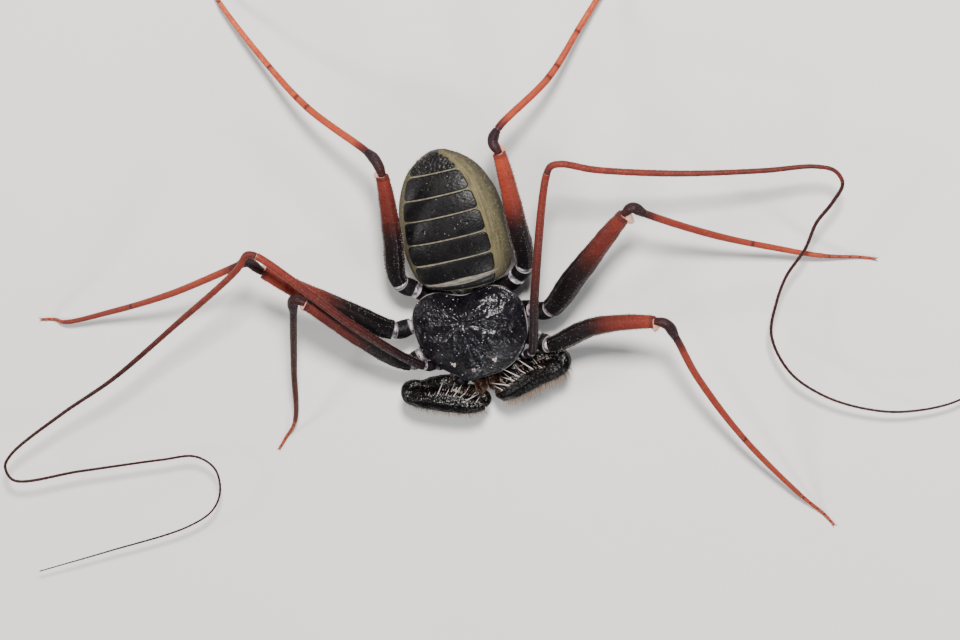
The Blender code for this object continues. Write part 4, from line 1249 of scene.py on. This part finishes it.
def build_leg(name, tile, draw, teeth, hairs):
    pair, side_name = name.rsplit("_", 1)
    coxa_end, hip = hip_points(pair, SIDES[side_name])
    knee, cap, shin = np.array(KNEES[name])
    bow = hip + (knee - hip) * 0.45 + FEMUR_BOWS[name]
    foot, ankle = np.array((*FEET[name], FOOT_AXIS_Z)), np.array(SHINS[name][-1])
    flat = foot + unit(np.array((*ankle[:2], FOOT_AXIS_Z)) - foot) * FOOT_LENGTH
    path = Path([coxa_end, hip, bow, knee, cap, shin, *SHINS[name], flat, foot])
    at_hip, at_knee, at_shin, at_ankle = (path.near(p) for p in (hip, knee, shin, ankle))
    at_hip = at_hip + HIP_REACHES.get(name, 0.0)
    black, red, shin_red, redder = LEG_TINTS[name]
    wide, narrow = FEMUR_WIDTHS[pair]
    skin = Skin("limb_cuticle", "joint_membrane")

    ring = Segment(
        path, 0.3, at_hip - 0.12, taper(0.9, 1.0, 0.94), flat=0.92, sides=40, pitch=0.06, wave=0.02,
        slant=(0.2, -0.16),
    )
    skin.add(ring.points, tint=0.02, dots=0.4, rim=0.7 * ring.rim)
    width = taper(wide * 0.86, wide, wide * 0.93, wide * 0.5 + narrow * 0.47, narrow * 1.02)
    femur = Segment(
        path, at_hip + 0.12, at_knee - 0.05, width, flat=0.85, sides=52, pitch=0.1, ridges=FEMUR_RIDGES,
        wave=0.02, slant=(0.1, 0.0),
    )
    end_rim = soft_step(femur.share, 0.965, 0.985)
    skin.add(
        femur.points,
        tint=(
            0.04 + (red - 0.04) * soft_step(femur.share, black - 0.15, black + 0.45)
            + 0.08 * soft_step(femur.share, 0.8, 1.0) - 0.07 * end_rim
        ),
        dots=1.0 - 0.6 * soft_step(femur.share, black, black + 0.3),
        plum=0.35 * end_rim,
        rim=0.8 * femur.rim * (femur.share < 0.5),
    )
    hollow = path.inside(at_knee + 0.5)
    patella = Segment(
        path, at_knee, at_shin - 0.1, taper(0.42, 0.55, 0.58, 0.44), sides=32, pitch=0.06,
        ridges=((90, 0.08, 0.3),),
    )
    patella.points = patella.points - (hollow * 0.16 * (1 - patella.share))[:, None]
    skin.add(
        patella.points, tint=0.48 - 0.15 * patella.share,
        plum=0.45 + 0.4 * soft_step(patella.share, 0.15, 0.7), dots=0.3,
    )
    tibia = Segment(
        path, at_shin + 0.02, at_ankle - 0.08, taper(0.4, 0.38, 0.33, 0.27), sides=24, pitch=0.14,
        ridges=((90, 0.06, 0.3),),
    )
    groove = sum(bell(tibia.share - line, 0.006) for line in SHIN_LINES[pair])
    skin.add(
        tibia.points,
        tint=(
            shin_red - 0.16 * (1 - soft_step(tibia.share, 0.0, 0.08))
            + redder * soft_step(tibia.share, 0.2, 1.0) - 0.25 * groove
        ),
        plum=0.7 * (1 - soft_step(tibia.share, 0.0, PLUM_SHARES.get(name, 0.1))) + 0.35 * groove,
    )
    end = path.length
    thin = taper(0.24, 0.2, 0.18, 0.15)
    tarsus = Segment(
        path, at_ankle + 0.02, end, thin, sides=20, pitch=0.07, rings=((end - at_ankle) / 5.0, 0.14),
    )
    tarsus.points[..., 2] = np.maximum(tarsus.points[..., 2], 0.0)
    phase = (tarsus.share * 5.0) % 1.0
    joint = bell(phase - 0.5, 0.08)
    skin.add(tarsus.points, tint=0.86 - 0.3 * joint + 0.06 * tarsus.share, plum=0.2 * joint)
    heading = unit(path.at(end) - path.at(end - 0.5))
    sideways = np.cross(heading, UP)
    for turn in (-0.45, 0.45):
        thorn(
            skin, 0, foot - heading * 0.08 + sideways * turn * 0.15 + UP * 0.02,
            heading + sideways * turn + UP * 0.25, 0.42, 0.06, bend=0.3, tint=0.3,
        )

    stations = (
        (0.0, 0.5), (0.3, 0.8), (0.5, 0.6), (at_hip - 0.3, 0.6), (at_hip - 0.04, 0.86),
        (at_hip + 0.25, 0.6), (at_knee - 0.6, 0.3), (at_knee + 0.2, 0.42), (at_shin, 0.34),
        (at_shin + 0.6, 0.2), (at_ankle, 0.2),
    )
    soft = membrane(path, 0.0, at_ankle + 0.1, width_at(stations))
    distance = np.linspace(0.0, at_ankle + 0.1, len(soft))[:, None]
    # The hip membranes are darker on their undersides and paler on top: painted shade.
    hip_underside_shade = 0.55 - 0.5 * clamp(1.2 * np.sin(ring_angles(24)[None] + 0.5))
    shade = np.maximum(
        hip_underside_shade * (distance < at_hip + 1), 0.95 * soft_step(distance, at_knee + 0.7, at_shin - 0.1),
    )
    skin.add(soft, 1, peach=soft_step(distance, at_hip + 1, at_knee - 0.5), shade=shade)
    steps = np.linspace(at_knee - 0.5, at_knee + 0.75, 18)
    bulge = np.sin(np.linspace(0.12, np.pi - 0.08, 18))
    out = KNEE_BULGES.get(name, 1.0)
    wedge = membrane(
        path, steps[0], steps[-1], lambda d: (0.38 + 0.2 * out) * np.interp(d, steps, bulge), sides=24,
        pitch=0.07,
    )
    swelling = np.interp(np.linspace(0, 1, len(wedge)), np.linspace(0, 1, len(bulge)), bulge)[:, None]
    wedge = wedge + (hollow * (0.62 * out - 0.26) * swelling)[:, None]
    skin.add(wedge, 1, peach=0.82, shade=0.0)
    nodes = [name + "_" + part for part in ("femur", "trochanter", "patella", "tibia", "tarsus")]
    wear(skin.piece(name + "_skin"), nodes[0], *nodes)

    for angle, palest, length in TOOTH_ROWS:
        rows = femur.row(angle, 0.24, draw)
        paleness = palest * (1 - 0.7 * soft_step(rows["along"], black, black + 0.4))
        white = paleness * draw.uniform(0.2, 1.0, len(rows["along"]))
        teeth.append(
            lot(rows, length, draw.uniform(0.03, 0.058, len(white)), rise=0.75, white=white, tile=tile)
        )
    scattered = femur.sown(SMALL_TEETH, 1.0 - 0.5 * femur.share, draw)
    white = (
        draw.uniform(0.0, 1.0, SMALL_TEETH)
        * (1.0 - 0.5 * soft_step(scattered["along"], black, black + 0.4))
    )
    teeth.append(
        lot(scattered, 0.07, draw.uniform(0.02, 0.045, SMALL_TEETH), rise=0.8, white=white, tile=tile)
    )
    for part, count, length in (
        (femur, 150, 0.3), (patella, 40, 0.26), (tibia, 220, 0.27), (tarsus, 130, 0.22),
    ):
        hairs.append(lot(part.sown(count, 1.0, draw), length, 0.0085, rise=0.45, white=0.05, tile=tile))


draw = np.random.default_rng(41)
teeth, hairs = [], []
for number, name in enumerate(KNEES):
    build_leg(name, (number % 4, number // 4), draw, teeth, hairs)
plant("leg_teeth", teeth, "tooth", "tooth", "leg_3_left_femur", 8)
plant("leg_hairs", hairs, "hair", "hair", "leg_3_left_tibia", 9)

# %% [markdown]
# ## Whips
#
# The first pair of legs feels instead of walking. A whip is a femur and a shin, then a lash of many
# tiny joints that tapers to a thread. The small joints are grooves in one long grid.

# %% Whip sizes
WHIP_COXA_END = (5.05, -5.3, 5.2)
WHIP_HIP = (6.1, -4.75, 6.5)
WHIP_ARCH = (0.15, 0.15, 1.8)
WHIP_TIBIA_LENGTH = 31.0
WHIP_KNEES = {
    "right": ((-18.2, 12.9, 16.1), (-19.1, 13.2, 16.15), (-20.8, 11.6, 15.6)),
    "left": ((14.3, 16.9, 14.8), (14.9, 17.6, 14.8), (15.9, 17.6, 14.5)),
}
# How red the femur is, from its root to its end
WHIP_TINTS = {"right": (0.12, 0.36, 0.5, 0.56, 0.68, 0.8), "left": (0.06, 0.22, 0.47, 0.58, 0.7, 0.72)}
# How much darker the shin gets towards its end
WHIP_FADES = {"right": 0.3, "left": 0.14}
WHIP_SHINS = {
    "right": ((-31.4, 4.8, 11.4), (-40.6, -0.8, 9.1), (-48.3, -4.6, 7.4)),
    "left": ((19.0, 16.1, 13.2), (26.9, 13.7, 10.6), (35.1, 12.1, 8.4), (40.3, 11.4, 7.2)),
}
WHIP_LASHES = {
    "right": (
        (-56.4, -9.2, 5.7), (-57.6, -10.7, 5.4), (-57.1, -12.4, 5.2), (-49.1, -12.5, 4.7),
        (-39.5, -12.5, 4.3), (-35.4, -12.7, 4.1), (-33.6, -14.4, 4.0), (-33.7, -17.2, 3.8),
        (-35.2, -19.4, 3.7), (-38.7, -21.1, 3.5), (-49.2, -23.1, 3.1), (-58.2, -24.7, 2.6),
    ),
    "left": (
        (42.1, 10.5, 6.7), (42.6, 9.0, 6.5), (41.1, 7.0, 6.2), (39.0, 5.0, 5.9), (37.2, 2.2, 5.4),
        (34.6, -0.6, 5.0), (33.0, -3.3, 4.7), (31.6, -7.2, 4.3), (32.7, -11.6, 4.0), (35.5, -14.7, 3.6),
        (39.4, -16.9, 3.2), (43.8, -18.0, 2.9), (50.0, -17.4, 2.7), (55.0, -14.0, 2.6),
        (58.5, -8.8, 2.5), (60.2, -3.0, 2.4), (60.4, 1.5, 2.3),
    ),
}


# %% Whips
def build_whip(name, tile, draw, teeth, hairs):
    side = SIDES[name]
    coxa_end, hip = mirrored(WHIP_COXA_END, side), mirrored(WHIP_HIP, side)
    knee, cap, shin = np.array(WHIP_KNEES[name])
    arch = hip + (knee - hip) * 0.4 + WHIP_ARCH
    path = Path([coxa_end, hip, arch, knee, cap, shin, *WHIP_SHINS[name], *WHIP_LASHES[name]])
    at_hip, at_knee = path.near(hip), path.near(knee)
    at_lash = path.near(cap) + WHIP_TIBIA_LENGTH
    skin = Skin("limb_cuticle", "joint_membrane")
    ring = Segment(path, 0.35, at_hip - 0.2, taper(0.5, 0.58, 0.5), sides=28, pitch=0.06)
    skin.add(ring.points, tint=0.05, plum=0.2)
    femur = Segment(
        path, at_hip + 0.1, at_knee - 0.04, taper(0.47, 0.47, 0.44, 0.4), sides=28, pitch=0.14,
        ridges=((90, 0.05, 0.3), (-90, 0.05, 0.3)),
    )
    tint = np.interp(femur.share, (0.0, 0.2, 0.4, 0.6, 0.8, 1.0), WHIP_TINTS[name])
    skin.add(femur.points, tint=tint, plum=0.25 - 0.2 * femur.share, dots=0.6)
    tibia = Segment(
        path, at_knee + 0.02, at_lash - 0.03, taper(0.37, 0.35, 0.29, 0.22), sides=20, pitch=0.1,
        rings=(1.15, 0.05),
    )
    band = np.sin(tibia.along * 2 * np.pi / 2.3)
    knee_dark = 1 - soft_step(tibia.share, 0.0, 0.06)
    skin.add(
        tibia.points, tint=0.74 - WHIP_FADES[name] * soft_step(tibia.share, 0.2, 0.9) + 0.03 * band,
        plum=0.15 + 0.5 * knee_dark,
    )
    lash = Segment(
        path, at_lash + 0.02, path.length, taper(0.21, 0.17, 0.14, 0.11, 0.07), sides=12, pitch=0.1,
        rings=(0.8, 0.13), wave=0.0,
    )
    skin.add(lash.points, tint=0.48 - 0.04 * lash.share, plum=0.45)
    stations = (
        (0.0, 0.4), (0.3, 0.5), (at_hip, 0.46), (at_hip + 0.4, 0.3), (at_knee - 0.5, 0.25), (at_knee, 0.36),
        (at_knee + 0.5, 0.25), (at_lash, 0.18),
    )
    soft = membrane(path, 0.0, at_lash + 0.1, width_at(stations), sides=16, pitch=0.2)
    distance = np.linspace(0.0, at_lash + 0.1, len(soft))[:, None]
    skin.add(
        soft, 1, peach=soft_step(distance, at_hip, at_knee),
        shade=0.2 + 0.4 * soft_step(distance, at_hip, at_knee),
    )
    nodes = [
        "feeler_%s_%s" % (part, name)
        for part in ("femur", "hip", "tibia", "tarsus_base", "tarsus_middle", "tarsus_tip")
    ]
    wear(skin.piece("feeler_%s_skin" % name), nodes[0], *nodes)
    for angle in (90, 30, 150, -30, -150):
        rows = femur.row(angle, 0.22, draw)
        teeth.append(
            lot(rows, 0.06, 0.038, rise=0.9, white=draw.uniform(0.0, 0.8, len(rows["along"])), tile=tile)
        )
    for part, count, length in ((femur, 160, 0.2), (tibia, 420, 0.22), (lash, 900, 0.2)):
        hairs.append(lot(part.sown(count, 1.0, draw), length, 0.007, rise=0.5, tile=tile))


teeth, hairs = [], []
for number, name in enumerate(SIDES):
    build_whip(name, (number, 0), draw, teeth, hairs)
plant("feeler_teeth", teeth, "tooth", "tooth", "feeler_femur_left", 11)
plant("feeler_hairs", hairs, "hair", "hair", "feeler_tibia_left", 10)

# %% [markdown]
# ## Arms
#
# The pedipalps fold back on themselves in front of the shield: out along the femur, round the elbow
# and back in along the longest segment, which bears the basket of long spines. They are black and
# very glossy, and a fringe of short brown hairs grows along the front edge.

# %% Arm sizes
ARM_ROUTES = {
    "right": (
        (2.45, -6.4, 4.4), (3.1, -7.0, 4.55), (3.85, -7.4, 4.7), (5.8, -7.5, 4.88), (7.4, -7.4, 4.9),
        (8.25, -7.3, 4.92), (8.9, -7.65, 5.05), (8.9, -8.35, 5.25), (8.2, -8.72, 5.36),
        (5.4, -9.45, 5.4), (3.6, -10.05, 5.25), (2.0, -10.55, 5.05), (1.1, -10.6, 4.75),
        (0.8, -10.25, 4.35), (1.2, -9.75, 4.05), (2.2, -9.3, 3.8), (3.9, -8.85, 3.7),
    ),
    "left": (
        (2.45, -6.4, 4.4), (3.1, -6.85, 4.45), (3.9, -6.85, 4.45), (5.5, -6.4, 4.4), (7.2, -6.15, 4.4),
        (8.1, -5.96, 4.45), (8.8, -6.33, 4.62), (8.8, -7.1, 4.94), (8.1, -7.46, 5.11),
        (5.7, -8.05, 5.2), (3.8, -8.85, 5.2), (2.1, -9.6, 5.0), (1.35, -9.9, 4.7),
        (1.0, -9.75, 4.3), (1.35, -9.35, 3.95), (2.3, -8.9, 3.7), (3.9, -8.4, 3.6),
    ),
}
ARM_JOINTS = (0, 2, 4, 12)
# Share of the segment, length, and lean: towards the middle line, backward, upward
LONG_SPINES = (
    (0.45, 0.7, (-0.5, 0.7, 0.55)),
    (0.54, 2.4, (-0.6, 0.83, 0.45)),
    (0.62, 1.2, (-0.62, 0.75, 0.45)),
    (0.69, 2.3, (-0.7, 0.7, 0.45)),
    (0.76, 1.5, (-0.78, 0.57, 0.45)),
    (0.83, 2.1, (-0.85, 0.39, 0.42)),
    (0.93, 1.1, (-0.68, 0.7, 0.4)),
)
FEMUR_SPINES = ((0.15, 0.6, (-0.3, 0.1, 0.95)), (0.8, 0.5, (-0.3, 0.1, 0.95)))
# Lower rows that the solids leave out, on the sides that face each other
LOWER_SPINES = {
    "femur": ((0.3, 0.7, (-0.3, -0.8, 0.1)), (0.5, 0.9, (-0.35, -0.8, 0.0)), (0.7, 0.7, (-0.3, -0.8, 0.1))),
    "patella": (
        (0.36, 0.6, (-0.3, 0.85, 0.0)), (0.49, 1.1, (-0.4, 0.85, 0.1)), (0.58, 0.8, (-0.4, 0.85, 0.0)),
        (0.66, 1.4, (-0.5, 0.8, 0.05)), (0.74, 0.9, (-0.5, 0.8, 0.0)), (0.8, 1.3, (-0.6, 0.7, 0.05)),
        (0.88, 0.9, (-0.7, 0.6, 0.0)),
    ),
}
# Number and length of the hairs in the fringe along the front
FRINGES = {"right": (1100, 0.7), "left": (1450, 1.0)}


# %% Arms
def build_arm(name, tile, draw, teeth, hairs):
    side = SIDES[name]
    points = mirrored(ARM_ROUTES[name], side)
    path = Path(points)
    hip, elbow_start, elbow, wrist = (path.near(points[index]) for index in ARM_JOINTS)
    skin = Skin("arm_cuticle", "joint_membrane", "spine_cuticle")
    upper = 90
    inner = upper - 90 * side
    edges = (
        (upper, 0.07, 0.25), (upper + 55 * side, 0.06, 0.2), (-60, 0.05, 0.25), (-120, 0.05, 0.25),
        (inner, 0.38, 0.6),
    )
    parts = {
        "trochanter": Segment(
            path, hip + 0.2, elbow_start - 0.08, taper(0.85, 0.98, 0.8), sides=36, pitch=0.06, ridges=edges,
        ),
        "femur": Segment(
            path, elbow_start + 0.04, elbow - 0.04, taper(0.74, 0.86, 0.8, 0.52), sides=40, pitch=0.07,
            ridges=edges, wave=0.02,
        ),
        "patella": Segment(
            path, elbow + 0.04, wrist - 0.04, taper(0.5, 0.8, 0.98, 1.03, 0.93, 0.6), sides=44, pitch=0.08,
            ridges=edges, wave=0.025,
        ),
        "hand": Segment(
            path, wrist + 0.06, path.length, taper(0.5, 0.74, 0.84, 0.74, 0.2), sides=32, pitch=0.08,
            ridges=((upper, 0.08, 0.3),),
        ),
    }
    for part, segment in parts.items():
        brown = 0.12 * (1 - soft_step(segment.share, 0.0, 0.12))
        if part == "hand":
            brown = 0.5 * soft_step(segment.share, 0.5, 1.0)
        skin.add(segment.points, 0, brown=brown)
    stations = (
        (0.0, 0.62), (hip + 0.3, 0.5), (elbow_start, 0.52), (elbow_start + 1, 0.3), (elbow, 0.5),
        (elbow + 1, 0.3), (wrist, 0.42), (wrist + 1, 0.2),
    )
    soft = membrane(path, 0.0, wrist + 1.0, width_at(stations))
    skin.add(soft, 1, shade=0.93, peach=0.5)
    for part, spines in (("femur", FEMUR_SPINES), ("patella", LONG_SPINES), *LOWER_SPINES.items()):
        segment = parts[part]
        for share, length, lean in spines:
            lean = unit(mirrored(lean, side))
            row = np.abs(segment.share[:, 0] - share).argmin()
            column = (segment.out[row] @ lean).argmax()
            # The long spines keep the painted highlight; the others are dark from root to tip.
            dark = 0.0 if spines is LONG_SPINES else 0.85
            thorn(
                skin, 2, segment.points[row, column] - lean * 0.06, lean, length * 1.15,
                0.055 + 0.016 * length, bend=0.05, sides=12, dark=dark,
            )
            for step in (-0.35, 0.3):
                near = row + int(step / 0.08)
                thorn(
                    skin, 2, segment.points[near, column] - lean * 0.05, lean + draw.normal(0, 0.12, 3),
                    0.25 + 0.1 * length, 0.07, bend=0.1, sides=8, dark=0.9,
                )
    nodes = ["palp_%s_%s" % (part, name) for part in ("patella", "trochanter", "femur", "hand")]
    wear(skin.piece("palp_%s_skin" % name), nodes[0], *nodes)
    for part in ("femur", "patella"):
        for angle in (upper, inner, -60):
            teeth.append(lot(parts[part].row(angle, 0.4, draw), 0.15, 0.05, rise=0.9, tile=tile))
        teeth.append(
            lot(parts[part].sown(200, 1.0, draw), 0.05, draw.uniform(0.025, 0.05, 200), rise=1.0, tile=tile)
        )
    patella = parts["patella"]
    front = clamp(-patella.out[..., 1] - 0.25) * clamp(0.75 - patella.out[..., 2])
    count, length = FRINGES[name]
    fringe = lot(patella.sown(count, front, draw), length, 0.0115, rise=0.8, white=0.1, tile=tile)
    fringe["out"] = unit(fringe["out"] + np.array((0.0, -0.35, 0.0)))
    hairs.append(fringe)
    back = clamp(patella.out[..., 1] - 0.1)
    femur_front = clamp(-parts["femur"].out[..., 1])
    hairs.append(lot(patella.sown(60, back, draw), 0.4, 0.01, rise=0.8, tile=tile))
    hairs.append(lot(parts["femur"].sown(60, femur_front, draw), 0.35, 0.01, rise=0.8, tile=tile))
    hairs.append(lot(parts["hand"].sown(90, 1.0, draw), 0.35, 0.01, tile=tile))


teeth, hairs = [], []
for number, name in enumerate(SIDES):
    build_arm(name, (number, 0), draw, teeth, hairs)
plant("palp_teeth", teeth, "tooth", "grain", "palp_patella_left", 12)
plant("palp_hairs", hairs, "hair", "hair", "palp_patella_left", 13)

# %% [markdown]
# ## Jaws and the underside
#
# Two short brown jaws look out from under the front of the shield, each with a fang and a brush of
# hairs. Below the shield the coxae, the root pieces of the limbs, stand round a narrow breast plate
# like spokes, with soft skin between them.

# %% Jaws
JAW_ROUTE = ((0.72, -6.6, 4.85), (0.74, -7.5, 4.98), (0.72, -8.3, 4.8), (0.66, -8.75, 4.35))
hairs = []
for number, (name, side) in enumerate(SIDES.items()):
    path = Path(mirrored(JAW_ROUTE, side))
    skin = Skin("arm_cuticle", "spine_cuticle")
    width = taper(0.6, 0.7, 0.68, 0.46)
    jaw = Segment(path, 0.0, path.length + 0.3, width, flat=1.12, sides=36, pitch=0.06)
    skin.add(jaw.points, 0, brown=0.42 - 0.2 * jaw.share)
    # The fang shows the same painted highlight as the long spines.
    thorn(
        skin, 1, mirrored((0.62, -8.8, 4.4), side), mirrored((-0.1, 0.45, -0.9), side), 0.85, 0.17,
        bend=0.2, sides=12,
    )
    wear(skin.piece("chelicera_%s_skin" % name), "chelicera_" + name, "chelicera_" + name)
    hairs.append(lot(jaw.sown(170, 0.2 + jaw.share ** 2, draw), 0.4, 0.01, tile=(number, 0)))
plant("chelicera_hairs", hairs, "hair", "hair", "chelicera_left", 14)

# %% Underside
LOAF = np.array(((-6.1, 2.2), (-5.2, 3.2), (-3.4, 4.4), (-0.8, 5.0), (1.2, 4.5), (2.4, 3.0)))


def build_underside():
    skin = Skin("joint_membrane", "limb_cuticle")
    y = np.linspace(-6.1, 2.4, 70)[:, None]
    half_width = np.interp(y, LOAF[:, 0], LOAF[:, 1])
    half_width = half_width * np.sqrt(np.clip(1 - ((y + 1.85) / 4.5) ** 6, 0.05, 1))
    angle = ring_angles(96)[None]
    z = 4.35 + np.sin(angle) * 1.25 * np.sqrt(np.clip(1 - ((y + 1.85) / 4.6) ** 6, 0.05, 1))
    pleats = 0.03 * np.sin(y * 9.0 + 2 * np.cos(angle)) * (np.abs(np.cos(angle)) > 0.5)
    x = half_width * np.cos(angle) * (1 + pleats)
    # The soft skin under the body is darkened almost to black: painted shade under the shield.
    skin.add(np.stack((x, y + 0 * angle, z), axis=-1), 0, shade=0.93)
    for name, side in SIDES.items():
        roots = []
        for pair in COXA_ENDS:
            end, hip = hip_points(pair, side)
            inner = np.array((end[0] * 0.4, end[1] * 0.6 - 0.2, 4.3))
            roots.append((end, hip, inner, 0.9, (0.85, 0.94, 0.92), 0.88))
        end, hip = mirrored(WHIP_COXA_END, side), mirrored(WHIP_HIP, side)
        roots.append((end, hip, mirrored((2.4, -3.4, 4.3), side), 0.7, (0.7, 0.67, 0.52), 1.0))
        lobe = Path(mirrored(((1.15, -4.8, 3.8), (1.35, -6.4, 3.85), (1.65, -8.2, 3.9)), side))
        skin.add(
            Segment(
                lobe, 0.0, lobe.length, taper(0.9, 0.95, 0.9, 0.4), flat=0.9, sides=32, pitch=0.08,
            ).points,
            1, tint=0.16,
        )
        end, hip = mirrored(ARM_ROUTES[name][0], side), mirrored(ARM_ROUTES[name][1], side)
        roots.append((end, hip, mirrored((1.7, -4.4, 4.25), side), 0.6, (0.85, 0.87, 0.8), 1.0))
        for end, hip, inner, back, widths, flat in roots:
            path = Path((inner, end - unit(hip - end) * back, end))
            coxa = Segment(
                path, 0.0, path.length, taper(*widths), flat=flat, sides=36, pitch=0.08,
                ridges=((90, 0.05, 0.3),),
            )
            skin.add(coxa.points, 1, tint=0.03, plum=0.1, dots=0.5)
            lip = Path((end - unit(hip - end) * 0.16, end + unit(hip - end) * 0.1))
            skin.add(
                membrane(
                    lip, 0.0, lip.length, lambda d: widths[2] * (0.88 + 0.16 * np.sin(d * 11.0)), sides=32,
                    pitch=0.03,
                ),
                0, shade=0.1,
            )
    wear(skin.piece("underbody_skin"), "underbody", "underbody")


build_underside()

# %% [markdown]
# ## Tidy up and close
#
# The shapes that were only planted are removed.

# %% Close
for shape in SHAPES.values():
    bpy.data.objects.remove(shape)
